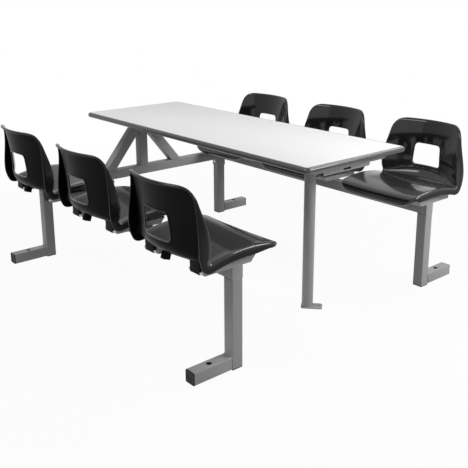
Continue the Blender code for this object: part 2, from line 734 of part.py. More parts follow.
def seat_shell():
    work = bpy.data.objects.new("seat_shell", shell_surface())
    CUTTERS.objects.link(work)
    wall = work.modifiers.new("wall", "SOLIDIFY")
    wall.thickness = SHELL_WALL
    wall.offset = -1
    wall.use_even_offset = True
    # Flat faces keep the cuts and unions closed
    work.modifiers.new("flat_faces", "TRIANGULATE")
    knife = work.modifiers.new("hand_hole", "BOOLEAN")
    knife.solver = "EXACT"
    knife.object = hand_hole()
    for side in (-1, 1):
        for block in shell_posts(side * BEARER_SPREAD / 2):
            union = work.modifiers.new("post", "BOOLEAN")
            union.operation = "UNION"
            union.solver = "EXACT"
            union.object = block
    mesh = evaluated_mesh(work)
    bpy.data.objects.remove(work)
    mesh.shade_smooth()
    mesh.set_sharp_from_angle(angle=SHARP_EDGE)
    return mesh


def build_seats():
    mesh = seat_shell()
    lift = BEARER_TOP + CLEARANCE + PAN_GAP + SHELL_WALL - pan_low_point()
    for side, sign in SIDES.items():
        for place, step in PLACES.items():
            matrix = frame((step * SEAT_PITCH, sign * SEAT_FRONT, lift), (sign, 0, 0), (0, sign, 0))
            add_part(f"seat_shell_{side}_{place}", mesh, SHELL_BLACK, matrix)


build_top()
build_top_bearers()
build_round_leg()
build_king_post()
build_rails()
build_legs()
build_socket()
build_bearers()
build_seats()
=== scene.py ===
import math

import bmesh
import bpy
from mathutils import Matrix, Vector


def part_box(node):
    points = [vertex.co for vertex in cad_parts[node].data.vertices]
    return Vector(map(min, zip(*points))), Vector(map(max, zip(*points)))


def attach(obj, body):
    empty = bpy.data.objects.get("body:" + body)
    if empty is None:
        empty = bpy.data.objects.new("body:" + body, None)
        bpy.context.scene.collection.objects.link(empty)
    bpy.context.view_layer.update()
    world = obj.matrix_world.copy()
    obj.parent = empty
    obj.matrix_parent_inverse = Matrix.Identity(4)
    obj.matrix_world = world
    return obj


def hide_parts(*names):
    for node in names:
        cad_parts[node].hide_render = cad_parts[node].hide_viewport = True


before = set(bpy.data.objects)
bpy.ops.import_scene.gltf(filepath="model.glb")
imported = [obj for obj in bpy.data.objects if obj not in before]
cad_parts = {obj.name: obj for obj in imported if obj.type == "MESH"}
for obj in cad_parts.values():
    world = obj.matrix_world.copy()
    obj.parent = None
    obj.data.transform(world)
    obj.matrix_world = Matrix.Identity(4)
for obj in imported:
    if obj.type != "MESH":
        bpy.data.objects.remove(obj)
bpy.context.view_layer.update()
scene = bpy.context.scene
print("frame loaded:", len(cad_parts), "nodes")


# ways to build node trees
class Wire:
    # one socket of a tree; sums and products of wires add Math nodes
    def __init__(self, tree, socket):
        self.tree, self.socket = tree, socket

    def __getitem__(self, name):
        return Wire(self.tree, self.socket.node.outputs[name])

    def maths(self, operation, *values):
        node = self.tree.nodes.new("ShaderNodeMath")
        node.operation = operation
        for socket, value in zip(node.inputs, values):
            plug(self.tree, socket, value)
        return Wire(self.tree, node.outputs[0])

    def __add__(self, value):
        return self.maths("ADD", self, value)

    def __sub__(self, value):
        return self.maths("SUBTRACT", self, value)

    def __rsub__(self, value):
        return self.maths("SUBTRACT", value, self)

    def __mul__(self, value):
        return self.maths("MULTIPLY", self, value)

    __radd__ = __add__
    __rmul__ = __mul__


def plug(tree, socket, value):
    if isinstance(value, Wire):
        tree.links.new(value.socket, socket)
    else:
        socket.default_value = value


class TreeMaker:
    def __init__(self, tree):
        self.tree = tree

    def add(self, kind, sockets=(), out=0, **settings):
        node = self.tree.nodes.new(kind)
        for key, value in settings.items():
            setattr(node, key, value)
        for key, value in dict(sockets).items():
            plug(self.tree, node.inputs[key], value)
        return Wire(self.tree, node.outputs[out]) if node.outputs else node

    def noise(self, where, scale, detail, roughness=0.5):
        sockets = {"Vector": where, "Scale": scale, "Detail": detail, "Roughness": roughness}
        return self.add("ShaderNodeTexNoise", sockets, "Fac")

    def streaks(self, where, stretch, detail):
        drawn = self.add("ShaderNodeMapping", {"Vector": where, "Scale": stretch})
        return self.noise(drawn, 1.0, detail)

    def remap(self, value, low, high, first=0.0, last=1.0):
        sockets = {"Value": value, "From Min": low, "From Max": high, "To Min": first, "To Max": last}
        return self.add("ShaderNodeMapRange", sockets, interpolation_type="SMOOTHSTEP")

    def tint(self, factor, first, second):
        return self.add("ShaderNodeMix", {0: factor, 6: first, 7: second}, 2, data_type="RGBA")

    def bump(self, height, strength, distance):
        sockets = {"Height": height, "Strength": strength, "Distance": distance}
        return self.add("ShaderNodeBump", sockets)

    def layer(self, name):
        return self.add("ShaderNodeAttribute", out="Fac", attribute_name=name)

    def height(self, where):
        return self.add("ShaderNodeSeparateXYZ", {"Vector": where}, "Z")


def newMaterial(name):
    material = bpy.data.materials.new(name)
    material.use_nodes = True
    material.node_tree.nodes.clear()
    maker = TreeMaker(material.node_tree)
    return material, maker, maker.add("ShaderNodeTexCoord", out="Object")


def newFinish(name, look, sockets):
    material, maker, where = newMaterial(name)
    shader = maker.add("ShaderNodeBsdfPrincipled", sockets(look, maker, where))
    maker.add("ShaderNodeOutputMaterial", {"Surface": shader})
    return material


def grey(value, blue=0.0):
    return (value, value, value + blue, 1.0)


# finishes; a noise is scale and detail, a streak is stretch and detail, a bump is strength and distance
steelLook = dict(pale=0.30, deep=0.26, blue=0.004, rough=0.36, shine=0.3, bump=(0.16, 0.0004),
                 drift=(5.0, 4.0), driftRough=0.10, peel=(330.0, 1.5),
                 grain=(900.0, 1.0), grainTint=0.18, grainPale=1.3, grainBump=0.3,
                 scuffs=((60, 60, 260), 3.0), scuffRange=(0.60, 0.74), scuffTop=0.09, scuffTint=0.45,
                 scuffGrey=0.09, scuffRough=0.2)


def paintedSteelSockets(look, maker, where):
    drift = maker.noise(where, *look["drift"])        # film thickness
    grain = maker.noise(where, *look["grain"])        # powder grain
    peel = maker.noise(where, *look["peel"])          # orange peel
    low = maker.remap(maker.height(where), look["scuffTop"], 0.0)   # kicked and mopped near the floor
    scuffs = maker.remap(maker.streaks(where, *look["scuffs"]), *look["scuffRange"]) * low
    base = maker.tint(drift, grey(look["deep"], look["blue"]), grey(look["pale"], look["blue"]))
    base = maker.tint(grain * look["grainTint"], base, grey(look["pale"] * look["grainPale"]))
    base = maker.tint(scuffs * look["scuffTint"], base, grey(look["scuffGrey"]))
    return {
        "Base Color": base,
        "Roughness": look["rough"] + drift * look["driftRough"] + scuffs * look["scuffRough"],
        "Specular IOR Level": look["shine"],
        "Normal": maker.bump(peel + grain * look["grainBump"], *look["bump"])}


# the sitter side's two tones are lighter than the rear's: a painted sheen, with haze and rubs as real
# wear; the darker upper back keeps that painted sheen to the pan
seatLook = dict(rear=0.003, sat=0.015, worn=0.019, back=0.005, blue=0.0005, rough=0.20, rearRough=0.10,
                shine=0.04, sitterCoat=0.92, rearCoat=0.04, coatRough=0.09, bump=(0.30, 0.0016),
                flow=(7.0, 2.0), haze=(26.0, 5.0, 0.6), hazeTint=0.5, hazeRough=0.16,
                rub=((420, 36, 420), 2.0), rubRange=(0.58, 0.72), rubTint=0.3, rubRough=0.04,
                backRange=(0.53, 0.62), backDull=0.42, satDull=0.60, satRough=0.08)


def seatPlasticSockets(look, maker, where):
    side, sat = maker.layer("sitterSide"), maker.layer("satOn")
    flow = maker.noise(where, *look["flow"])          # slow waves left by the mould
    haze = maker.noise(where, *look["haze"])          # handling haze
    rub = maker.remap(maker.streaks(where, *look["rub"]), *look["rubRange"]) * side   # rubbed by clothes
    upper = maker.remap(maker.height(where), *look["backRange"])
    base = maker.tint(haze * look["hazeTint"] + rub * look["rubTint"],
                      grey(look["sat"]), grey(look["worn"], look["blue"]))
    # painted sheen: on the sitter side the upper back stays darker than the pan
    base = maker.tint(upper, base, grey(look["back"]))
    # painted sheen: the sitter side and its rims lighter than the rear, as far as the gloss layer goes
    base = maker.tint(side, grey(look["rear"]), base)
    rough = look["rough"] + haze * look["hazeRough"] + rub * look["rubRough"] + sat * look["satRough"]
    dull = (1.0 - upper * look["backDull"]) * (1.0 - sat * look["satDull"])   # by hands and by sitters
    return {
        "Base Color": base,
        "Roughness": rough + (1.0 - side) * look["rearRough"],
        "Specular IOR Level": look["shine"],
        "Coat Weight": look["rearCoat"] + side * (look["sitterCoat"] - look["rearCoat"]) * dull,
        "Coat Roughness": look["coatRough"],
        "Normal": maker.bump(flow, *look["bump"])}


def plainSockets(look, maker, where):
    # two tones in clouds over a fine grain; a tone is a grey and its added blue
    cloud, grain = maker.noise(where, *look["cloud"]), maker.noise(where, *look["grain"])
    return {
        "Base Color": maker.tint(cloud, grey(*look["deep"]), grey(*look["pale"])),
        "Metallic": look["metal"],
        "Roughness": look["rough"] + cloud * look["cloudRough"],
        "Specular IOR Level": look["shine"],
        "Normal": maker.bump(grain, *look["bump"])}


insertLook = dict(deep=(0.009, 0.0), pale=(0.0171, 0.0), metal=0.0, rough=0.46, shine=0.18,
                  bump=(0.25, 0.0003), cloud=(60.0, 3.0), cloudRough=0.12, grain=(1400.0, 2.0))
zincLook = dict(deep=(0.44, 0.0), pale=(0.62, 0.012), metal=1.0, rough=0.30, shine=0.5,
                bump=(0.10, 0.0002), cloud=(240.0, 3.0), cloudRough=0.16, grain=(240.0, 3.0))

laminateLook = dict(base=0.76, dull=0.72, blue=-0.004, rough=0.30, bump=(0.10, 0.0002),
                    cloud=(3.0, 4.0), cloudTint=0.6, fleck=(1100.0, 2.0), fleckTint=0.3, fleckRough=0.04,
                    wipe=((3, 40, 10), 4.0), wipeRough=0.10,
                    backing=0.20, backingDeep=0.8, backingTop=0.002, backingFade=0.001)


def laminateSockets(look, maker, where):
    cloud = maker.noise(where, *look["cloud"])
    fleck = maker.noise(where, *look["fleck"])
    wipe = maker.streaks(where, *look["wipe"])        # wiping marks
    base = maker.tint(cloud * look["cloudTint"] + fleck * look["fleckTint"],
                      grey(look["base"], look["blue"]), grey(look["dull"], look["blue"]))
    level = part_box("tabletop_board")[0][2] + look["backingTop"]
    below = maker.remap(maker.height(where), level, level - look["backingFade"])   # plain sheet below
    backing = maker.tint(cloud, grey(look["backing"]), grey(look["backing"] * look["backingDeep"]))
    return {
        "Base Color": maker.tint(below, base, backing),
        "Roughness": look["rough"] + wipe * look["wipeRough"] + fleck * look["fleckRough"],
        "Normal": maker.bump(fleck, *look["bump"])}


lippingLook = dict(deep=(0.038, 0.003), pale=(0.050, 0.003), metal=0.0, rough=0.24, shine=0.5,
                   bump=(0.14, 0.0003), cloud=(14.0, 4.0), cloudRough=0.10, grain=(1000.0, 2.0),
                   nicks=(85.0, 3.0), nickRange=(0.66, 0.74), nickTint=0.25, nickGrey=0.12)


def lippingSockets(look, maker, where):
    sockets = plainSockets(look, maker, where)
    nicks = maker.remap(maker.noise(where, *look["nicks"]), *look["nickRange"])
    base = maker.tint(nicks * look["nickTint"], sockets["Base Color"], grey(look["nickGrey"]))
    return dict(sockets, **{"Base Color": base})


paintedSteel = newFinish("greyPaintedSteel", steelLook, paintedSteelSockets)
seatPlastic = newFinish("blackGlossPlastic", seatLook, seatPlasticSockets)
insertPlastic = newFinish("blackInsertPlastic", insertLook, plainSockets)
laminate = newFinish("whiteLaminate", laminateLook, laminateSockets)
lipping = newFinish("greyEdgeLipping", lippingLook, lippingSockets)
zinc = newFinish("zincPlatedSteel", zincLook, plainSockets)


# mesh tools
def linkObject(name, data):
    piece = bpy.data.objects.new(name, data)
    scene.collection.objects.link(piece)
    return piece


def plainMesh(work):
    # the mesh that a work object's modifiers give; the object goes
    bpy.context.view_layer.update()
    graph = bpy.context.evaluated_depsgraph_get()
    mesh = bpy.data.meshes.new_from_object(work.evaluated_get(graph))
    bpy.data.objects.remove(work)
    return mesh


def worked(mesh, *steps):
    work = linkObject("work", mesh)
    for kind, settings in steps:
        modifier = work.modifiers.new(kind.lower(), kind)
        for key, value in settings.items():
            setattr(modifier, key, value)
    return plainMesh(work)


def softened(mesh, width, segments=2, angle=50):
    return worked(mesh, ("BEVEL", dict(width=width, segments=segments, limit_method="ANGLE",
                                       angle_limit=math.radians(angle))))


def cutBy(mesh, *knives):
    cutters = [linkObject("knife", knife) for knife in knives]
    result = worked(mesh, *[("BOOLEAN", dict(operation="DIFFERENCE", solver="EXACT", object=cutter))
                            for cutter in cutters])
    for cutter in cutters:
        bpy.data.objects.remove(cutter)
    return result


def meshOf(points, faces, edges=()):
    mesh = bpy.data.meshes.new("work")
    mesh.from_pydata([tuple(p) for p in points], edges, faces)
    mesh.update()
    return mesh


def tidied(mesh, merge=1e-6):
    # doubles merged, faces turned outwards
    build = bmesh.new()
    build.from_mesh(mesh)
    bmesh.ops.remove_doubles(build, verts=build.verts, dist=merge)
    bmesh.ops.recalc_face_normals(build, faces=build.faces)
    build.to_mesh(mesh)
    build.free()
    return mesh


def joined(meshes):
    build = bmesh.new()
    for mesh in meshes:
        build.from_mesh(mesh)
    result = bpy.data.meshes.new("work")
    build.to_mesh(result)
    build.free()
    return result


def moved(mesh, matrix):
    copy = mesh.copy()
    copy.transform(matrix)
    return copy


def placed(mesh, x, y, z):
    return moved(mesh, Matrix.Translation((x, y, z)))


def axesAt(origin, xAxis, yAxis):
    x = Vector(xAxis).normalized()
    y = Vector(yAxis).normalized()
    matrix = Matrix((x, y, x.cross(y))).transposed().to_4x4()
    matrix.translation = Vector(origin)
    return matrix


def roundedOutline(width, height, radius, steps):
    points = []
    for quarter, (sx, sy) in enumerate(((1, 1), (-1, 1), (-1, -1), (1, -1))):
        for step in range(steps + 1):
            angle = math.pi / 2 * (quarter + step / steps)
            points.append(Vector((sx * (width / 2 - radius) + radius * math.cos(angle),
                                  sy * (height / 2 - radius) + radius * math.sin(angle), 0)))
    return points


def circleOutline(radius, steps):
    angles = [2 * math.pi * i / steps for i in range(steps)]
    return [Vector((radius * math.cos(a), radius * math.sin(a), 0)) for a in angles]


def atHeight(outline, height):
    return [Vector((p.x, p.y, height)) for p in outline]


def lofted(rings, wrap=False):
    # skin through rings of equal count; wrapped to a hollow ring, or closed at both ends
    count = len(rings[0])
    points = [p for ring in rings for p in ring]
    faces = []
    for k in range(len(rings) if wrap else len(rings) - 1):
        a, b = k * count, (k + 1) % len(rings) * count
        faces += [(a + i, a + (i + 1) % count, b + (i + 1) % count, b + i) for i in range(count)]
    if not wrap:
        faces.append(tuple(range(count))[::-1])
        faces.append(tuple(range((len(rings) - 1) * count, len(rings) * count)))
    return tidied(meshOf(points, faces))


def prism(outline, low, high):
    return lofted([atHeight(outline, low), atHeight(outline, high)])


def sleeve(outer, inner, low, high):
    levels = ((outer, low), (outer, high), (inner, high), (inner, low))
    return lofted([atHeight(outline, height) for outline, height in levels], True)


def addPiece(name, mesh, material, nodes, sharp=38):
    mesh.materials.clear()
    mesh.materials.append(material)
    mesh.shade_smooth()
    mesh.set_sharp_from_angle(angle=math.radians(sharp))
    piece = linkObject(name, mesh)
    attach(piece, "root")
    if nodes:
        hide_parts(*nodes)
    return piece


def addNode(node, mesh, material=paintedSteel, sharp=38):
    # the piece that takes the place of one node, named after it
    first, *rest = node.split("_")
    addPiece(first + "".join(word.capitalize() for word in rest), mesh, material, [node], sharp)


def boxOf(node):
    low, high = (Vector(corner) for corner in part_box(node))
    return low, high, (low + high) / 2


# geometry trees
def newTree(name, nodes, **inputs):
    tree = bpy.data.node_groups.new(name, "GeometryNodeTree")
    for label, kind in dict(Geometry="Geometry", **inputs, Material="Material").items():
        tree.interface.new_socket(label, in_out="INPUT", socket_type="NodeSocket" + kind)
    tree.interface.new_socket("Geometry", in_out="OUTPUT", socket_type="NodeSocketGeometry")
    maker = TreeMaker(tree)
    given = maker.add("NodeGroupInput")
    real = maker.add("GeometryNodeRealizeInstances", {"Geometry": nodes(maker, given)})
    done = maker.add("GeometryNodeSetMaterial", {"Geometry": real, "Material": given["Material"]})
    maker.add("NodeGroupOutput", {"Geometry": done})
    return tree


def joinWires(maker, *parts):
    both = maker.add("GeometryNodeJoinGeometry")
    for part in parts:
        maker.tree.links.new(part.socket, both.socket.node.inputs[0])
    return both


def runTree(tree, mesh, material, **inputs):
    work = linkObject("work", mesh)
    modifier = work.modifiers.new("nodes", "NODES")
    modifier.node_group = tree
    inputs["Material"] = material
    for item in tree.interface.items_tree:
        if item.in_out == "INPUT" and item.name in inputs:
            modifier[item.identifier] = inputs[item.name]
    return plainMesh(work)


# square tube pieces, drawn along the longest side of their node's box
tubeSet = dict(corner=0.004, wall=0.0025, gap=0.0003, arris=0.0005, cornerSteps=6, merge=0.00001)
gap = tubeSet["gap"]          # between neighbours in the solids; the scene closes it


def tubeNodes(maker, given):
    # hollow section with round corners, filled and drawn out along Z
    wall = given["Wall"]
    loops = []
    for inset, radius in ((0.0, given["Corner"]), (2.0, given["Corner"] - wall)):
        sides = {side: given[side] - wall * inset for side in ("Width", "Height")}
        loop = maker.add("GeometryNodeCurvePrimitiveQuadrilateral", sides, mode="RECTANGLE")
        loops.append(maker.add("GeometryNodeFilletCurve", {"Curve": loop, "Count": tubeSet["cornerSteps"],
                                                           "Radius": radius}, mode="POLY"))
    face = maker.add("GeometryNodeFillCurve", {"Curve": joinWires(maker, *loops[::-1])}, mode="TRIANGLES")
    drawn = maker.add("GeometryNodeExtrudeMesh", {"Mesh": face, "Offset Scale": given["Length"],
                                                  "Individual": False}, mode="FACES")
    base = maker.add("GeometryNodeFlipFaces", {"Mesh": face})
    return maker.add("GeometryNodeMergeByDistance",
                     {"Geometry": joinWires(maker, base, drawn), "Distance": tubeSet["merge"]})


tubeTree = newTree("squareTube", tubeNodes, Width="Float", Height="Float", Corner="Float", Wall="Float",
                   Length="Float")
benches = (("left", -1), ("right", 1))
corners = [(side, sign, place) for side, sign in benches for place in ("far", "near")]


def tubeMesh(width, height, length):
    return runTree(tubeTree, meshOf([], []), paintedSteel, Width=width, Height=height, Length=length,
                   Corner=tubeSet["corner"], Wall=tubeSet["wall"])


def tubeAlong(low, high, axis):
    size = high - low
    start = (low + high) / 2
    start[axis] = low[axis]
    across = {0: ((0, 1, 0), (0, 0, 1)), 1: ((-1, 0, 0), (0, 0, 1)), 2: ((1, 0, 0), (0, 1, 0))}[axis]
    sides = [size[other] for other in range(3) if other != axis]
    return moved(tubeMesh(*sides, size[axis]), axesAt(start, *across))


def plainTube(node, axis):
    low, high, _ = boxOf(node)
    low[axis] -= gap
    high[axis] += gap
    addNode(node, tubeAlong(low, high, axis))


for side in ("left", "right"):
    plainTube(side + "_seat_rail", 0)
    for place in ("far", "near"):
        plainTube(f"{side}_{place}_upright", 2)
plainTube("cross_beam", 1)
plainTube("king_post", 2)


# feet: the wide hole in the top wall, the bolt hole in the bottom wall
footSet = dict(holeInset=0.084, accessHole=0.011, boltHole=0.0055, steps=40, knife=0.05)


def footPiece(side, sign, place):
    node = f"{side}_{place}_foot"
    low, high, middle = boxOf(node)
    outer, inner = (high, low) if sign > 0 else (low, high)
    inner.y -= sign * gap
    y = outer.y - sign * footSet["holeInset"]
    access = prism(circleOutline(footSet["accessHole"], footSet["steps"]), 0, footSet["knife"])
    bolt = prism(circleOutline(footSet["boltHole"], footSet["steps"]), -footSet["knife"], 0)
    knives = [placed(knife, middle.x, y, middle.z) for knife in (access, bolt)]
    addNode(node, softened(cutBy(tubeAlong(low, high, 1), *knives), tubeSet["arris"]))


for corner in corners:
    footPiece(*corner)


# braces: both ends cut on the slope
braceSet = dict(foot=0.220, drop=0.054, section=0.050)
beamTop = boxOf("cross_beam")[1].z
braceRise = boxOf("king_post")[1].z - braceSet["drop"] - beamTop
braceRun = braceSet["foot"] - braceSet["section"] / 2
braceLean = math.atan2(braceRun, braceRise)


def bracePieces():
    length = math.hypot(braceRun, braceRise)
    mesh = tubeMesh(braceSet["section"], braceSet["section"], length)
    for vertex in mesh.vertices:
        slope = 1 / math.tan(braceLean) if vertex.co.z > length / 2 else -math.tan(braceLean)
        vertex.co.z += slope * vertex.co.y
    middle = boxOf("king_post")[2]
    for side, sign in benches:
        matrix = axesAt((middle.x, sign * braceSet["foot"], beamTop), (sign, 0, 0),
                        (0, sign * math.cos(braceLean), math.sin(braceLean)))
        addNode(side + "_brace", moved(mesh, matrix))


bracePieces()
print("square tube pieces made")


# flat plates with eased edges
plateSet = dict(corner=0.006, steps=8, arris=0.0008, endSteps=7, endArris=0.0006)


def platePieces():
    for node in ("king_post_head", "round_leg_head"):
        low, high, middle = boxOf(node)
        size = high - low
        outline = roundedOutline(size.x, size.y, plateSet["corner"], plateSet["steps"])
        mesh = placed(prism(outline, 0, size.z + gap), middle.x, middle.y, low.z)
        addNode(node, softened(mesh, plateSet["arris"]))
    for side, _, place in corners:
        node = f"{side}_{place}_rail_end_plate"
        low, high, middle = boxOf(node)
        size = high - low
        outline = roundedOutline(size.y, size.z, tubeSet["corner"], plateSet["endSteps"])
        matrix = axesAt((low.x, middle.y, middle.z), (0, 1, 0), (0, 0, 1))
        addNode(node, softened(moved(prism(outline, 0, size.x), matrix), plateSet["endArris"]))


platePieces()


# round leg: tube, and a turned tab with a bolt hole
legSet = dict(radius=0.025, wall=0.002, steps=64, tabWidth=0.052, tabReach=0.066, tabTail=0.028,
              tabCorner=0.008, tabSteps=8, hole=0.0055, holeInset=0.018, holeSteps=32,
              knife=(-0.01, 0.02), turn=42)


def roundLegPieces():
    low, high, middle = boxOf("round_leg")
    outer = circleOutline(legSet["radius"], legSet["steps"])
    inner = circleOutline(legSet["radius"] - legSet["wall"], legSet["steps"])
    tube = sleeve(outer, inner, low.z - gap, high.z + gap)
    addNode("round_leg", placed(tube, middle.x, middle.y, 0))
    reach, tail = legSet["tabReach"], legSet["tabTail"]
    low, high, _ = boxOf("round_leg_foot")
    outline = roundedOutline(reach + tail, legSet["tabWidth"], legSet["tabCorner"], legSet["tabSteps"])
    tab = placed(prism(outline, low.z, high.z), (reach - tail) / 2, 0, 0)
    hole = prism(circleOutline(legSet["hole"], legSet["holeSteps"]), *legSet["knife"])
    tab = softened(cutBy(tab, placed(hole, reach - legSet["holeInset"], 0, 0)), plateSet["arris"])
    turned = moved(tab, Matrix.Rotation(math.radians(legSet["turn"]), 4, "Z"))
    addNode("round_leg_foot", placed(turned, middle.x, middle.y, 0))


roundLegPieces()


# table top: board, bullnose lipping, cross bearers and the slotted rail
topSet = dict(corner=0.008, cornerSteps=10, arris=0.0003, flat=0.002, nose=0.0125, noseSteps=18,
              barSteps=10, barEase=0.0015, barEaseSteps=3,
              slot=(0.008, 0.046), slotCorner=0.0039, slotSteps=8, knife=0.05)


def topRings(low, high, profile):
    # outlines of the box, each with its own inset, corner and height
    size, steps = high - low, topSet["cornerSteps"]
    return [atHeight(roundedOutline(size.x - 2 * inset, size.y - 2 * inset, corner, steps), height)
            for inset, corner, height in profile]


def topPieces():
    low, high, _ = boxOf("tabletop_board")
    corner, arris = topSet["corner"], topSet["arris"]
    levels = ((arris, low.z), (0, low.z + arris), (0, high.z - arris), (arris, high.z))
    board = topRings(low, high, [(inset, corner, height) for inset, height in levels])
    addNode("tabletop_board", lofted(board), laminate)
    low, high, middle = boxOf("tabletop_edge")
    levels = [(-gap, low.z)]
    for step in range(topSet["noseSteps"] + 1):
        angle = math.pi * (step / topSet["noseSteps"] - 0.5)
        levels.append((topSet["flat"] + topSet["nose"] * math.cos(angle),
                       middle.z + (high.z - middle.z) * math.sin(angle)))
    levels.append((-gap, high.z))
    depth = topSet["flat"] + topSet["nose"]
    edge = topRings(low, high, [(depth - out, corner + out, height) for out, height in levels])
    addNode("tabletop_edge", lofted(edge, True), lipping)


def bearerBar(node):
    # bar along Y with rounded ends below
    low, high, _ = boxOf(node)
    drop, half = high.z - low.z, (high.y - low.y) / 2
    quarter = [math.pi / 2 * step / topSet["barSteps"] for step in range(topSet["barSteps"] + 1)]
    outline = [Vector((side * (half - drop * (1 - math.cos(angle))), -drop * math.sin(angle), 0))
               for side, angles in ((-1, quarter), (1, quarter[::-1])) for angle in angles]
    matrix = axesAt((low.x, 0, high.z + gap), (0, 1, 0), (0, 0, 1))
    mesh = moved(prism(outline, 0, high.x - low.x), matrix)
    addNode(node, softened(mesh, topSet["barEase"], topSet["barEaseSteps"]))


def slottedRail():
    low, high, middle = boxOf("slotted_rail")
    slot = roundedOutline(*topSet["slot"], topSet["slotCorner"], topSet["slotSteps"])
    knife = moved(prism(slot, -topSet["knife"], topSet["knife"]), axesAt(middle, (0, 0, 1), (0, 1, 0)))
    addNode("slotted_rail", softened(cutBy(tubeAlong(low, high, 1), knife), tubeSet["arris"]))


topPieces()
bearerBar("near_top_bearer")
bearerBar("far_top_bearer")
slottedRail()
print("table pieces made")


# plastic inserts: flange with an eased rim and a sunk panel, and a stem in the tube
insertSet = dict(flange=0.004, corner=0.004, ease=0.0009, easeInset=0.6, easeRise=0.3, panel=0.034,
                 sunkCorner=0.003, sink=0.0007, stemCorner=0.0015, stemRun=0.010, stemTaper=0.003,
                 steps=6)


def insertMesh(width, depth):
    stem, stemCorner = width - 2 * tubeSet["wall"] - 2 * gap, insertSet["stemCorner"]
    ease, flange, corner, panel = (insertSet[key] for key in ("ease", "flange", "corner", "panel"))
    levels = [(panel - 2 * ease, insertSet["sink"], insertSet["sunkCorner"]), (panel, 0, corner),
              (width - 2 * ease, 0, corner - ease),
              (width - insertSet["easeInset"] * ease, insertSet["easeRise"] * ease, corner),
              (width, ease, corner), (width, flange, corner), (stem, flange, stemCorner),
              (stem, flange + insertSet["stemRun"], stemCorner),
              (stem - insertSet["stemTaper"], depth, stemCorner)]
    return lofted([atHeight(roundedOutline(size, size, radius, insertSet["steps"]), height)
                   for size, height, radius in levels])


def insertPieces():
    for side, sign, place in corners:
        node = f"{side}_{place}_upright_plug"
        low, high, middle = boxOf(node)
        mesh = insertMesh(high.x - low.x, high.z - low.z)
        addNode(node, placed(mesh, middle.x, middle.y, low.z), insertPlastic)
        node = f"{side}_{place}_foot_cap"
        low, high, middle = boxOf(node)
        outer = (middle.x, high.y if sign > 0 else low.y, middle.z)
        addNode(node, moved(mesh, axesAt(outer, (sign, 0, 0), (0, 0, 1))), insertPlastic)


insertPieces()


# sleeve round the far right upright with its set bolt
socketSet = dict(wall=0.004, corner=0.008, innerCorner=0.004, steps=8, arris=0.0008,
                 bolt=0.008, boltSteps=24, head=0.015, headHeight=0.006, ease=0.0009, eased=0.90,
                 washer=0.018, washerHeight=0.0012, washerSteps=32)


def socketPieces():
    low, high, middle = boxOf("beam_socket")
    size, wall, steps = high - low, socketSet["wall"], socketSet["steps"]
    outer = roundedOutline(size.x, size.y, socketSet["corner"], steps)
    inner = roundedOutline(size.x - 2 * wall, size.y - 2 * wall, socketSet["innerCorner"], steps)
    mesh = placed(sleeve(outer, inner, 0, size.z), middle.x, middle.y, low.z)
    addNode("beam_socket", softened(mesh, socketSet["arris"]))
    low, high, middle = boxOf("socket_set_bolt")
    hexagon = circleOutline(socketSet["head"] / 2, 6)
    eased = [p * socketSet["eased"] for p in hexagon]
    washer = circleOutline(socketSet["washer"] / 2, socketSet["washerSteps"])
    shank = circleOutline(socketSet["bolt"] / 2, socketSet["boltSteps"])
    rise = socketSet["headHeight"]
    parts = [lofted([atHeight(eased, 0), atHeight(hexagon, socketSet["ease"]), atHeight(hexagon, rise)]),
             prism(washer, rise - socketSet["washerHeight"], rise), prism(shank, rise, high.y - low.y)]
    matrix = axesAt((middle.x, low.y, middle.z), (1, 0, 0), (0, 0, -1))
    addNode("socket_set_bolt", moved(joined(parts), matrix), zinc)


socketPieces()


# seat bearers: pressed trays, open below, the front end slanted up and outwards
traySet = dict(wall=0.002, length=0.217, bend=0.0035, bendSteps=4, bendAngle=20)
trays = [f"seat_bearer_{side}_{place}_{end}" for side in ("left", "right")
         for place in ("far", "mid", "near") for end in ("far", "near")]


def trayMesh(low, high):
    nose = high.y - low.y - traySet["length"]
    points = []
    for z, inset in ((low.z, nose), (high.z, 0)):
        front, rear = (low.y + inset, high.y) if low.y > 0 else (low.y, high.y - inset)
        points += [(x, y, z) for x in (low.x, high.x) for y in (front, rear)]
    faces = [(4, 6, 7, 5), (0, 2, 6, 4), (1, 5, 7, 3), (0, 4, 5, 1), (2, 3, 7, 6)]
    mesh = tidied(meshOf(points, faces))
    mesh = softened(mesh, traySet["bend"], traySet["bendSteps"], traySet["bendAngle"])
    return worked(mesh, ("SOLIDIFY", dict(thickness=traySet["wall"], offset=-1.0, use_even_offset=True)))


for node in trays:
    low, high, _ = boxOf(node)
    low.z -= gap
    addNode(node, trayMesh(low, high))
print("bearers made:", len(trays))


# seat shell: arcs from the front lip to the top of the back, dished across, with a turned-back rim
seatSet = dict(width=0.440, backWidth=0.385, wall=0.0045, gap=0.018, front=0.400, pitch=0.580,
               radii=(0.034, 0.665, 0.062, 1.004, 0.028), headings=(100, 11, -15, 90, 78, 40),
               panDish=0.008, backDish=0.070, topDish=0.046, frontCorner=0.080, topCorner=0.060,
               rimRadius=0.008, rimFront=0.012, rimPan=0.036, rimBend=0.047, rimBack=0.058, rimTop=0.013,
               holeWidth=0.146, holeTaper=0.013, holeHeight=0.106, holeRise=0.065, holeCorner=0.016,
               lipRadius=0.005, lipDepth=0.008, lipRings=4, lipGloss=0.8, skirtRings=4, skirtGloss=0.4,
               columns=44, rowStep=0.0075, cornerRows=9, rimRings=5, holeMargin=0.022, holeRings=5,
               holeFine=24, halvings=40, sharp=62)
turns = [math.radians(a) for a in seatSet["headings"]]
arcs = list(zip(seatSet["radii"], turns, turns[1:]))
arcLengths = [radius * abs(end - start) for radius, start, end in arcs]
shellLength = sum(arcLengths)
bendStart = arcLengths[0] + arcLengths[1]
bendEnd = bendStart + arcLengths[2]


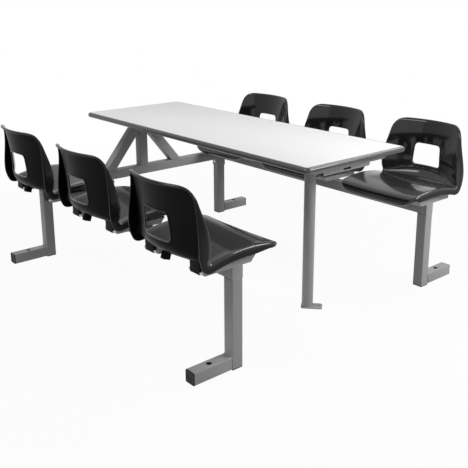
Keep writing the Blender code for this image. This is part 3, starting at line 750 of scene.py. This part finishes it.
def middleLine(along):
    depth = height = 0.0
    for index, ((radius, start, end), length) in enumerate(zip(arcs, arcLengths)):
        part = along if index == len(arcs) - 1 else min(along, length)
        sense = 1 if end > start else -1
        heading = start + sense * part / radius
        depth += sense * radius * (math.sin(heading) - math.sin(start))
        height += sense * radius * (math.cos(start) - math.cos(heading))
        along -= part
        if along <= 0:
            break
    return depth, height, heading


def ramp(along, stops):
    for (a, low), (b, high) in zip(stops, stops[1:]):
        if along <= b:
            t = max(0.0, (along - a) / (b - a))
            return low + (high - low) * t * t * (3 - 2 * t)
    return stops[-1][1]


def fullHalf(along):
    half, backHalf = seatSet["width"] / 2, seatSet["backWidth"] / 2
    return ramp(along, [(0, half), (bendEnd, half), (shellLength, backHalf)]) - seatSet["rimRadius"]


def cornerAt(along):
    # radius of the corner that this place is in, the way to its end, and which end
    if along < seatSet["frontCorner"]:
        return seatSet["frontCorner"], along, -1
    if shellLength - along < seatSet["topCorner"]:
        return seatSet["topCorner"], shellLength - along, 1
    return None


def halfAt(along):
    width = fullHalf(along)
    if cornerAt(along):
        radius, left, _ = cornerAt(along)
        width -= radius - math.sqrt(max(0.0, radius ** 2 - (radius - left) ** 2))
    return width


def edgeFacing(x, along):
    # where the shell's edge faces, as parts across and along
    if cornerAt(along):
        radius, left, sense = cornerAt(along)
        aside = (abs(x) - (fullHalf(along) - radius)) / radius
        return math.copysign(max(0.0, min(1.0, aside)), x), sense * (radius - left) / radius
    return math.copysign(1.0, x), 0.0


def dishAt(along):
    return ramp(along, [(0, 0), (arcLengths[0], seatSet["panDish"] / 2), (bendStart, seatSet["panDish"]),
                        (bendEnd, seatSet["backDish"]), (shellLength, seatSet["topDish"])])


def rimAt(along):
    return ramp(along, [(0, seatSet["rimFront"]), (bendStart / 2, seatSet["rimPan"]),
                        (bendStart, seatSet["rimPan"]), ((bendStart + bendEnd) / 2, seatSet["rimBend"]),
                        (bendEnd, seatSet["rimBack"]), (shellLength, seatSet["rimTop"])])


def dishHeading(along):
    # the sides rise square to the pan, come level early in the bend, and stay level up the back
    if along < bendStart:
        return middleLine(along)[2]
    share = min(1.0, (along - bendStart) / (bendEnd - bendStart))
    return turns[2] + (math.pi / 2 - turns[2]) * (1 - (1 - share) ** 3)


def shellPoint(x, along):
    depth, height, _ = middleLine(along)
    lift = dishAt(along) * (x / fullHalf(along)) ** 2
    lean = dishHeading(along)
    return Vector((x, depth - lift * math.sin(lean), height + lift * math.cos(lean)))


def shellAxes(x, along, probe=0.0005):
    across = (shellPoint(x + probe, along) - shellPoint(x - probe, along)).normalized()
    ahead = (shellPoint(x, along + probe) - shellPoint(x, along - probe)).normalized()
    return across, ahead, across.cross(ahead).normalized()


def alongAt(x, axis, goal, low, high):
    # the place between low and high where the shell comes to a depth (axis 1) or a height (axis 2)
    for _ in range(seatSet["halvings"]):
        middle = (low + high) / 2
        low, high = (middle, high) if shellPoint(x, middle)[axis] < goal else (low, middle)
    return low


def panLow():
    # lowest point of the pan, where the bend is level
    return middleLine(bendStart + seatSet["radii"][2] * abs(turns[2]))[1]


def shellRows():
    count = seatSet["cornerRows"]
    quarter = [math.pi / 2 * i / count for i in range(count)]
    low, high = seatSet["frontCorner"], shellLength - seatSet["topCorner"]
    between = round((high - low) / seatSet["rowStep"])
    rows = [low * (1 - math.cos(a)) for a in quarter]
    rows += [low + (high - low) * i / between for i in range(between)]
    return rows + [high + seatSet["topCorner"] * math.sin(a) for a in quarter] + [shellLength]


def holeSides(counts, grow, hair=1e-12):
    # rounded trapezoid as four runs between the middles of its corners, each with its own count
    fine = seatSet["holeFine"]
    width, height = seatSet["holeWidth"], seatSet["holeHeight"]
    outline = roundedOutline(width + 2 * grow, height + 2 * grow, seatSet["holeCorner"] + grow, fine)
    taper = seatSet["holeTaper"] / width
    outline = [Vector((p.x * (1 - taper * p.y / height), p.y, 0)) for p in outline]
    places = []
    for corner, count in zip((2, 3, 0, 1), counts):                # from the low left corner
        start = corner * (fine + 1) + fine // 2
        run = [outline[(start + i) % len(outline)] for i in range(fine + 2)]
        marks = [0.0]
        for a, b in zip(run, run[1:]):
            marks.append(marks[-1] + (b - a).length)
        for step in range(count):
            goal = marks[-1] * step / count
            k = max(i for i in range(fine + 1) if marks[i] <= goal + hair)
            span = marks[k + 1] - marks[k]
            places.append(run[k].lerp(run[k + 1], (goal - marks[k]) / span if span else 0.0))
    return places


class Sheet:
    # points, normals and gloss of the shell, the gloss also a painted sheen in the base colour, and its
    # faces
    def __init__(self):
        self.points, self.normals, self.gloss, self.faces = [], [], [], []

    def add(self, point, normal, gloss=1.0):
        self.points.append(point)
        self.normals.append(normal)
        self.gloss.append(gloss)
        return len(self.points) - 1

    def onShell(self, x, along):
        return self.add(shellPoint(x, along), shellAxes(x, along)[2])

    def band(self, first, second, flip):
        count = len(first)
        for i in range(count):
            j = (i + 1) % count
            face = (first[i], second[i], second[j], first[j])
            self.faces.append(face[::-1] if flip else face)
        return second

    def rolled(self, ring, edge, radius, count, flip):
        # quarter round over an edge, given as points with where they face and their normals
        for step in range(1, count + 1):
            sine, cosine = math.sin(math.pi / 2 * step / count), math.cos(math.pi / 2 * step / count)
            fresh = [self.add(base + out * radius * sine - normal * radius * (1 - cosine),
                              out * sine + normal * cosine) for base, out, normal in edge]
            ring = self.band(ring, fresh, flip)
        return ring

    def closed(self, ring, leads, rear, flip):
        # half round from the sitter's side over to the rear
        half = seatSet["wall"] / 2
        start = ring
        for angle in (math.pi / 4, math.pi / 2, math.pi * 3 / 4):
            fresh = []
            for i, lead in zip(start, leads):
                facing = self.normals[i] * math.cos(angle) + lead * math.sin(angle)
                fresh.append(self.add(self.points[i] - self.normals[i] * half + facing * half, facing))
            ring = self.band(ring, fresh, flip)
        self.band(ring, rear, flip)


def shellGrid(sheet):
    rows, columns = shellRows(), seatSet["columns"]
    holeLow = panLow() + seatSet["holeRise"] - seatSet["holeMargin"]
    holeHigh = panLow() + seatSet["holeRise"] + seatSet["holeHeight"] + seatSet["holeMargin"]
    low = max(i for i, along in enumerate(rows) if middleLine(along)[1] < holeLow and along < shellLength)
    high = min(i for i, along in enumerate(rows) if middleLine(along)[1] > holeHigh)
    reach = seatSet["holeWidth"] / 2 + seatSet["holeMargin"]
    left = max(c for c in range(columns + 1) if (2 * c / columns - 1) * fullHalf(rows[low]) < -reach)
    right, last = columns - left, len(rows) - 1
    grid = {}
    for r, along in enumerate(rows):
        for c in range(columns + 1):
            if not (low < r < high and left < c < right):
                x = (2 * c / columns - 1) * halfAt(along)
                grid[r, c] = (sheet.onShell(x, along), x, along)
    for r in range(last):
        for c in range(columns):
            if not (low <= r < high and left <= c < right):
                keys = ((r, c), (r, c + 1), (r + 1, c + 1), (r + 1, c))
                sheet.faces.append(tuple(grid[key][0] for key in keys))

    def border(bottom, top, first, end):
        keys = [(bottom, c) for c in range(first, end)] + [(r, end) for r in range(bottom, top)]
        keys += [(top, c) for c in range(end, first, -1)] + [(r, first) for r in range(top, bottom, -1)]
        return [grid[key] for key in keys]

    counts = (right - left, high - low, right - left, high - low)
    return border(0, last, 0, columns), border(low, high, left, right), counts


def shellRim(sheet, border):
    # round over the edge, then a skirt straight back
    radius, wall, rings = seatSet["rimRadius"], seatSet["wall"], seatSet["skirtRings"]
    edge, leads = [], []
    for _, x, along in border:
        across, ahead, normal = shellAxes(x, along)
        aside, onward = edgeFacing(x, along)
        edge.append((shellPoint(x, along), (across * aside + ahead * onward).normalized(), normal))
        leads.append(-shellAxes(0, along)[2])
    ring = [index for index, _, _ in border]
    start = ring = sheet.rolled(ring, edge, radius, seatSet["rimRings"], False)
    for part in [step / rings for step in range(1, rings + 1)]:
        fresh = []
        for i, (_, out, _), lead, (_, _, along) in zip(start, edge, leads, border):
            depth = rimAt(along) - radius - wall / 2
            facing = (out - lead * out.dot(lead)).normalized()
            fresh.append(sheet.add(sheet.points[i] + lead * depth * part, facing,
                                   seatSet["skirtGloss"] * (1 - part / 2)))
        ring = sheet.band(ring, fresh, False)
    return ring, leads


def holeLip(sheet, border, counts):
    # rings from the grid in to the hand hole, then a lip turned back
    radius, rings = seatSet["lipRadius"], seatSet["holeRings"]
    centre = panLow() + seatSet["holeRise"] + seatSet["holeHeight"] / 2
    outline = holeSides(counts, radius)
    bend = (bendStart + bendEnd) / 2
    targets = [(p.x, alongAt(p.x, 2, centre + p.y, bend, shellLength)) for p in outline]
    ring = [index for index, _, _ in border]
    for part in [step / rings for step in range(1, rings + 1)]:
        fresh = [sheet.onShell(x + (tx - x) * part, along + (ta - along) * part)
                 for (_, x, along), (tx, ta) in zip(border, targets)]
        ring = sheet.band(ring, fresh, True)
    edge = []
    for i, (x, along) in enumerate(targets):
        run = outline[(i + 1) % len(outline)] - outline[i - 1]
        across, ahead, normal = shellAxes(x, along)
        edge.append((shellPoint(x, along), (across * -run.y + ahead * run.x).normalized(), normal))
    ring = sheet.rolled(ring, edge, radius, seatSet["lipRings"], True)
    deep = seatSet["lipDepth"] - radius - seatSet["wall"] / 2
    fresh = [sheet.add(sheet.points[i] - normal * deep, inward, seatSet["lipGloss"])
             for i, (_, inward, normal) in zip(ring, edge)]
    return sheet.band(ring, fresh, True), [-normal for _, _, normal in edge]


def shellSheet():
    sheet = Sheet()
    outer, inner, counts = shellGrid(sheet)
    ends = [(*shellRim(sheet, outer), False), (*holeLip(sheet, inner, counts), True)]
    front = len(sheet.points)
    sheet.faces += [tuple(i + front for i in face[::-1]) for face in sheet.faces]
    for point, normal in list(zip(sheet.points, sheet.normals)):
        sheet.add(point - normal * seatSet["wall"], -normal, 0.0)
    for ring, leads, flip in ends:
        sheet.closed(ring, leads, [i + front for i in ring], flip)
    return sheet


# moulded posts that stand on the bearers, lugs behind the bearers' ends, and ribs behind the bend
postSet = dict(bite=0.8, width=0.040, length=0.036, corner=0.003, ahead=0.075, inset=0.006,
               draft=0.96, steps=4, lugWidth=0.060, lugLength=0.013, lugDrop=0.022, lugGap=0.0003,
               ribCount=3, ribPitch=0.009, ribSize=(0.0026, 0.030, 0.030), ribDepth=0.362)


def ribNodes(maker, given):
    # row of thin blades along X
    offset = maker.add("ShaderNodeCombineXYZ", {"X": given["Pitch"]})
    row = maker.add("GeometryNodeMeshLine", {"Count": given["Count"], "Offset": offset}, mode="OFFSET")
    blade = maker.add("GeometryNodeMeshCube", {"Size": given["Size"]})
    return maker.add("GeometryNodeInstanceOnPoints", {"Points": row, "Instance": blade})


ribTree = newTree("ribRow", ribNodes, Count="Int", Pitch="Float", Size="Vector")


def ribMesh():
    ribs = runTree(ribTree, meshOf([], []), seatPlastic, Count=postSet["ribCount"],
                   Pitch=postSet["ribPitch"], Size=postSet["ribSize"])
    along = alongAt(0, 1, postSet["ribDepth"], arcLengths[0], bendEnd)
    across, ahead, normal = shellAxes(0, along)
    hold = shellPoint(0, along) - normal * (seatSet["wall"] + postSet["ribSize"][2]) / 2
    hold.x = -postSet["ribPitch"] * (postSet["ribCount"] - 1) / 2
    return moved(ribs, axesAt(hold, across, ahead))


def underside(x, depth):
    # height inside the wall at a depth from the front lip
    along = alongAt(x, 1, depth, arcLengths[0], bendEnd)
    return (shellPoint(x, along) - shellAxes(x, along)[2] * seatSet["wall"] * postSet["bite"]).z


def postMesh(x, depth, width, length, floor):
    outline = roundedOutline(width, length, postSet["corner"], postSet["steps"])
    low = [Vector((x + p.x * postSet["draft"], depth + p.y * postSet["draft"], floor)) for p in outline]
    high = [Vector((x + p.x, depth + p.y, underside(x + p.x, depth + p.y))) for p in outline]
    return lofted([low, high])


def pointLayer(mesh, name, values):
    mesh.attributes.new(name, "FLOAT", "POINT").data.foreach_set("value", values)


def seatMesh():
    sheet = shellSheet()
    body = meshOf(sheet.points, sheet.faces)
    # the layer sets the coat, and a painted sheen in the base colour
    pointLayer(body, "sitterSide", sheet.gloss)
    floor = panLow() - seatSet["wall"] - seatSet["gap"]
    _, high, middle = boxOf("seat_bearer_right_mid_near")
    rear = high.y - seatSet["front"]
    length, lugLength = postSet["length"], postSet["lugLength"]
    depths = (rear - traySet["length"] / 2 - postSet["ahead"], rear - postSet["inset"] - length / 2)
    parts = []
    for x in (-middle.x, middle.x):
        parts += [postMesh(x, depth, postSet["width"], length, floor) for depth in depths]
        parts.append(postMesh(x, rear + postSet["lugGap"] + lugLength / 2, postSet["lugWidth"], lugLength,
                              floor - postSet["lugDrop"]))
    parts.append(ribMesh())
    for part in parts:
        pointLayer(part, "sitterSide", [0.0] * len(part.vertices))
    return joined([body] + parts)


# where sitters have dulled the pans, in each row of seats
satSet = {"left": dict(half=0.225, front=0.02, rear=0.37, soft=0.05, most=1.3),
          "right": dict(half=0.165, front=0.10, rear=0.325, soft=0.05, most=1.0)}


def satShare(point, row):
    # most in the middle of the pan, 0 at its rims
    rims = (row["half"] - abs(point.x), point.y - row["front"], row["rear"] - point.y)
    return row["most"] * math.prod(min(max(rim / row["soft"], 0.0), 1.0) for rim in rims)


def seatPieces():
    seat = seatMesh()
    lift = boxOf("seat_bearer_right_mid_near")[1].z + gap + seatSet["gap"] + seatSet["wall"] - panLow()
    for side, sign in benches:
        for place, step in (("far", -1), ("mid", 0), ("near", 1)):
            start = (step * seatSet["pitch"], sign * seatSet["front"], lift)
            mesh = moved(seat, axesAt(start, (sign, 0, 0), (0, sign, 0)))
            pointLayer(mesh, "satOn", [satShare(vertex.co, satSet[side]) for vertex in seat.vertices])
            addNode(f"seat_shell_{side}_{place}", mesh, seatPlastic, seatSet["sharp"])
    print("seats made:", len(seat.polygons), "faces each")


seatPieces()


# weld beads along the joints of the frame
weldSet = dict(radius=0.0021, ripple=0.16, pitch=0.0026, step=0.0011, sides=8, thin=0.7, thick=0.6,
               wander=(90.0, 1.0), inset=0.003, lift=0.004, railInset=0.006, ease=0.0002, cornerSteps=4,
               ringSteps=40, sharp=80)


def weldNodes(maker, given):
    # rippled bead along every edge chain that comes in
    path = maker.add("GeometryNodeMeshToCurve", {"Mesh": given})
    path = maker.add("GeometryNodeResampleCurve", {"Curve": path, "Length": given["Step"]},
                     mode="LENGTH")
    along = maker.add("GeometryNodeSplineParameter", out="Length")
    phase = along.maths("DIVIDE", along, given["Pitch"]) * (2 * math.pi)
    swell = 1.0 + phase.maths("SINE", phase) * given["Ripple"]
    wander = maker.noise(maker.add("GeometryNodeInputPosition"), *weldSet["wander"])
    path = maker.add("GeometryNodeSetCurveRadius",
                     {"Curve": path, "Radius": swell * (weldSet["thin"] + wander * weldSet["thick"])})
    ring = maker.add("GeometryNodeCurvePrimitiveCircle", {"Resolution": weldSet["sides"],
                                                          "Radius": given["Radius"]}, mode="RADIUS")
    return maker.add("GeometryNodeCurveToMesh", {"Curve": path, "Profile Curve": ring, "Fill Caps": True})


weldTree = newTree("weldBead", weldNodes, Radius="Float", Ripple="Float", Pitch="Float", Step="Float")


def weldPaths():
    inset, lift, half = weldSet["inset"], weldSet["lift"], braceSet["section"] / 2
    paths = []

    def run(*points, closed=False):
        paths.append((points, closed))

    for side, sign, place in corners:                 # foot on upright, upright on rail
        _, high, middle = boxOf(f"{side}_{place}_upright")
        footLow, footHigh, _ = boxOf(f"{side}_{place}_foot")
        left, right, y = middle.x - half, middle.x + half, middle.y + sign * half
        bottom, top = footLow.z + lift, footHigh.z
        run((left, y, bottom), (left, y, top - inset), (left + inset, y, top), (right - inset, y, top),
            (right, y, top - inset), (right, y, bottom))
        x = left if place == "near" else right
        run((x, middle.y - half + inset, high.z + gap), (x, middle.y + half - inset, high.z + gap))
    beamLow, beamHigh, beam = boxOf("cross_beam")
    for y in (beamLow.y - gap, beamHigh.y + gap):
        for x in (beamLow.x, beamHigh.x):
            run((x, y, beam.z - half + lift), (x, y, beam.z + half - lift))
    low, high, _ = boxOf("king_post")
    size = braceSet["section"] - 2 * weldSet["ease"]
    square = roundedOutline(size, size, tubeSet["corner"], weldSet["cornerSteps"])
    for z in (low.z - gap, high.z + gap):
        run(*[p + Vector((beam.x, 0, z)) for p in square], closed=True)
    low, high, leg = boxOf("round_leg")
    for z in (low.z, high.z):
        ring = circleOutline(legSet["radius"], weldSet["ringSteps"])
        run(*[p + Vector((leg.x, 0, z)) for p in ring], closed=True)
    foot, head = braceSet["foot"], beamTop + braceRise
    footReach, headReach = half / math.cos(braceLean) - inset, half / math.sin(braceLean) - inset
    for sign in (-1, 1):                              # braces on the beam and on the post
        for x in (beam.x - half, beam.x + half):
            run((x, sign * (foot - footReach), beamTop), (x, sign * (foot + footReach), beamTop))
            run((x, sign * half, head - headReach), (x, sign * half, head + headReach))
    end = boxOf("right_near_rail_end_plate")[0].x
    for node in trays:                                # each bearer's sides on the rail
        low, high, _ = boxOf(node)
        railLow, railHigh, _ = boxOf(node.split("_")[2] + "_seat_rail")
        for x in (low.x, high.x):
            if x < end:
                run((x, railLow.y + weldSet["railInset"], railHigh.z),
                    (x, railHigh.y - weldSet["railInset"], railHigh.z))
    return paths


def weldPiece():
    points, edges = [], []
    for path, closed in weldPaths():
        first = len(points)
        points += path
        edges += [(i, i + 1) for i in range(first, len(points) - 1)]
        if closed:
            edges.append((len(points) - 1, first))
    beads = runTree(weldTree, meshOf(points, [], edges), paintedSteel, Radius=weldSet["radius"],
                    Ripple=weldSet["ripple"], Pitch=weldSet["pitch"], Step=weldSet["step"])
    addPiece("weldBeads", beads, paintedSteel, [], weldSet["sharp"])
    print("welds made:", len(points), "path points,", len(beads.polygons), "faces")


weldPiece()


# screws up into the board, bolts up through the bearers into the seats, and bolts across the lugs
screwSet = dict(radius=0.0042, height=0.0026, steps=16, slot=(0.00462, 0.0011), slotCorner=0.0002,
                slotTop=0.45, profile=((1.0, 0.0), (1.0, 0.35), (0.86, 0.75), (0.6, 1.0), (0.2, 1.06)),
                knife=0.01, boltRadius=0.0065, boltHeight=0.0045, boltEase=0.0007, boltEased=0.88,
                washer=0.010, washerHeight=0.0012, washerSteps=20, crossHead=0.0060, crossRise=0.0075,
                sunk=0.0001, seed=5, sharp=30,
                barSpots=((0.016, -0.185), (-0.016, -0.165), (-0.016, 0.165), (0.016, 0.185)),
                headInsets={"king_post_head": 0.014, "round_leg_head": 0.018})


def fixingNodes(maker, given):
    # one head on every point, each turned its own way
    head = maker.add("GeometryNodeObjectInfo", {"Object": given["Head"]}, "Geometry")
    most = maker.add("ShaderNodeCombineXYZ", {"Z": given["Turn"]})
    turn = maker.add("FunctionNodeRandomValue", {0: (0, 0, 0), 1: most, "Seed": given["Seed"]},
                     data_type="FLOAT_VECTOR")
    return maker.add("GeometryNodeInstanceOnPoints", {"Points": given, "Instance": head, "Rotation": turn})


fixingTree = newTree("fixingHeads", fixingNodes, Head="Object", Turn="Float", Seed="Int")


def screwHead():
    # pan head that faces down, with a cross recess
    radius, height = screwSet["radius"], screwSet["height"]
    head = lofted([atHeight(circleOutline(radius * share, screwSet["steps"]), -height * drop)
                   for share, drop in screwSet["profile"]])
    slot = roundedOutline(*screwSet["slot"], screwSet["slotCorner"], 1)
    knife = prism(slot, -screwSet["knife"], -height * screwSet["slotTop"])
    return cutBy(head, knife, moved(knife, Matrix.Rotation(math.pi / 2, 4, "Z")))


def hexHead(start, end):
    hexagon = circleOutline(screwSet["boltRadius"], 6)
    eased = [p * screwSet["boltEased"] for p in hexagon]
    return lofted([atHeight(hexagon, -start), atHeight(hexagon, -end),
                   atHeight(eased, -end - screwSet["boltEase"])])


def boltHead():
    washer = circleOutline(screwSet["washer"], screwSet["washerSteps"])
    return joined([prism(washer, 0, -screwSet["washerHeight"]),
                   hexHead(screwSet["washerHeight"], screwSet["boltHeight"])])


def crossBolt():
    # bolt through a lug along X, with a hexagon at each end
    half = postSet["lugWidth"] / 2 * postSet["draft"]
    head = hexHead(0, screwSet["crossHead"])
    return joined([moved(head, axesAt((sign * half, 0, 0), (0, 0, sign), (0, 1, 0))) for sign in (-1, 1)])


def fixingPiece(name, head, points, turn=2 * math.pi):
    guide = linkObject("head", head)
    mesh = runTree(fixingTree, meshOf(points, []), zinc, Head=guide, Turn=turn, Seed=screwSet["seed"])
    bpy.data.objects.remove(guide)
    addPiece(name, mesh, zinc, [], screwSet["sharp"])


def fixingPieces():
    screws, bolts, lugBolts = [], [], []
    for node in ("near_top_bearer", "far_top_bearer"):
        low, _, middle = boxOf(node)
        screws += [(middle.x + x, y, low.z + gap) for x, y in screwSet["barSpots"]]
    for node, inset in screwSet["headInsets"].items():
        low, high, _ = boxOf(node)
        screws += [(x, y, low.z) for x in (low.x + inset, high.x - inset)
                   for y in (low.y + inset, high.y - inset)]
    postInsets = (traySet["length"] / 2 + postSet["ahead"], postSet["inset"] + postSet["length"] / 2)
    for node in trays:
        low, high, middle = boxOf(node)
        rear, sign = (high.y, 1) if low.y > 0 else (low.y, -1)
        bolts += [(middle.x, rear - sign * inset, high.z - traySet["wall"] - screwSet["sunk"])
                  for inset in postInsets]
        lugBolts.append((middle.x, rear + sign * (postSet["lugGap"] + postSet["lugLength"] / 2),
                         high.z - postSet["lugDrop"] + screwSet["crossRise"]))
    fixingPiece("topScrews", screwHead(), screws)
    fixingPiece("seatBolts", boltHead(), bolts)
    fixingPiece("lugBolts", crossBolt(), lugBolts, 0.0)


fixingPieces()
print("fixings made")


# floor, light and camera
stageSet = dict(size=60.0, floor=-0.0006, pale=0.55, keep=0.95, fade=(1.6, 3.4), worldLight=0.10)


def seenRays(maker):
    # 1 for rays that show the background, 0 for those that light the object
    ray = maker.add("ShaderNodeLightPath", out="Is Camera Ray")
    mirrored = ray.maths("MAXIMUM", ray["Is Glossy Ray"], ray["Is Transmission Ray"])
    return ray.maths("MAXIMUM", ray, mirrored)


def makeFloor():
    half, level = stageSet["size"] / 2, stageSet["floor"]
    square = [(-half, -half, level), (half, -half, level), (half, half, level), (-half, half, level)]
    floor = linkObject("floor", meshOf(square, [(0, 1, 2, 3)]))
    material, maker, where = newMaterial("paleFloor")
    reach = maker.add("ShaderNodeVectorMath", {0: where}, "Value", operation="LENGTH")
    white = maker.remap(reach, *stageSet["fade"], stageSet["keep"], 1.0)
    soft = maker.add("ShaderNodeBsdfDiffuse", {"Color": grey(stageSet["pale"])})
    glow = maker.add("ShaderNodeEmission", {"Color": grey(1.0), "Strength": 1.0})
    both = maker.add("ShaderNodeMixShader", {0: seenRays(maker) * white, 1: soft, 2: glow})
    maker.add("ShaderNodeOutputMaterial", {"Surface": both})
    floor.data.materials.append(material)


def makeWorld():
    world = bpy.data.worlds.new("studio")
    world.use_nodes = True
    world.node_tree.nodes.clear()
    maker = TreeMaker(world.node_tree)
    dim, white = (maker.add("ShaderNodeBackground", {"Color": grey(1.0), "Strength": strength})
                  for strength in (stageSet["worldLight"], 1.0))
    both = maker.add("ShaderNodeMixShader", {0: seenRays(maker), 1: dim, 2: white})
    maker.add("ShaderNodeOutputWorld", {"Surface": both})
    scene.world = world


lamps = {"keyLamp": dict(place=(2.35, 1.12, 1.70), aim=(0.55, 0.0, 0.25), size=(1.0, 0.8), power=46),
         "leftLamp": dict(place=(-0.2, -2.8, 4.1), aim=(0.0, -0.4, 0.2), size=(3.2, 1.6), power=98),
         "rightLamp": dict(place=(0.6, 3.2, 3.5), aim=(0.0, 0.2, 0.2), size=(2.8, 1.6), power=76),
         "fillLamp": dict(place=(1.0, -5.0, 1.8), aim=(0.0, 0.0, 0.4), size=(6.0, 3.2), power=40)}


def makeLamps():
    for name, facts in lamps.items():
        data = bpy.data.lights.new(name, "AREA")
        data.shape = "RECTANGLE"
        data.size, data.size_y = facts["size"]
        data.energy = facts["power"]
        turn = (Vector(facts["aim"]) - Vector(facts["place"])).to_track_quat("-Z", "Y")
        lamp = linkObject(name, data)
        lamp.matrix_world = Matrix.Translation(facts["place"]) @ turn.to_matrix().to_4x4()


viewSet = dict(place=(2.5752, -2.1259, 1.3737), yaw=0.8707, pitch=0.2543, roll=-0.0035,
               focus=707.13, pixels=468, shift=-0.13)


def makeCamera():
    data = bpy.data.cameras.new("photoView")
    data.lens = viewSet["focus"] / viewSet["pixels"] * data.sensor_width
    data.shift_y = viewSet["shift"]
    yaw, pitch, roll = viewSet["yaw"], viewSet["pitch"], viewSet["roll"]
    ahead = Vector((-math.sin(yaw) * math.cos(pitch), math.cos(yaw) * math.cos(pitch), -math.sin(pitch)))
    right = ahead.cross(Vector((0, 0, 1))).normalized()
    up = right.cross(ahead)
    camera = linkObject("photoView", data)
    camera.matrix_world = axesAt(viewSet["place"], right * math.cos(roll) + up * math.sin(roll),
                                 up * math.cos(roll) - right * math.sin(roll))
    scene.camera = camera


makeFloor()
makeWorld()
makeLamps()
makeCamera()
scene.view_settings.view_transform = "Standard"
print("stage set")
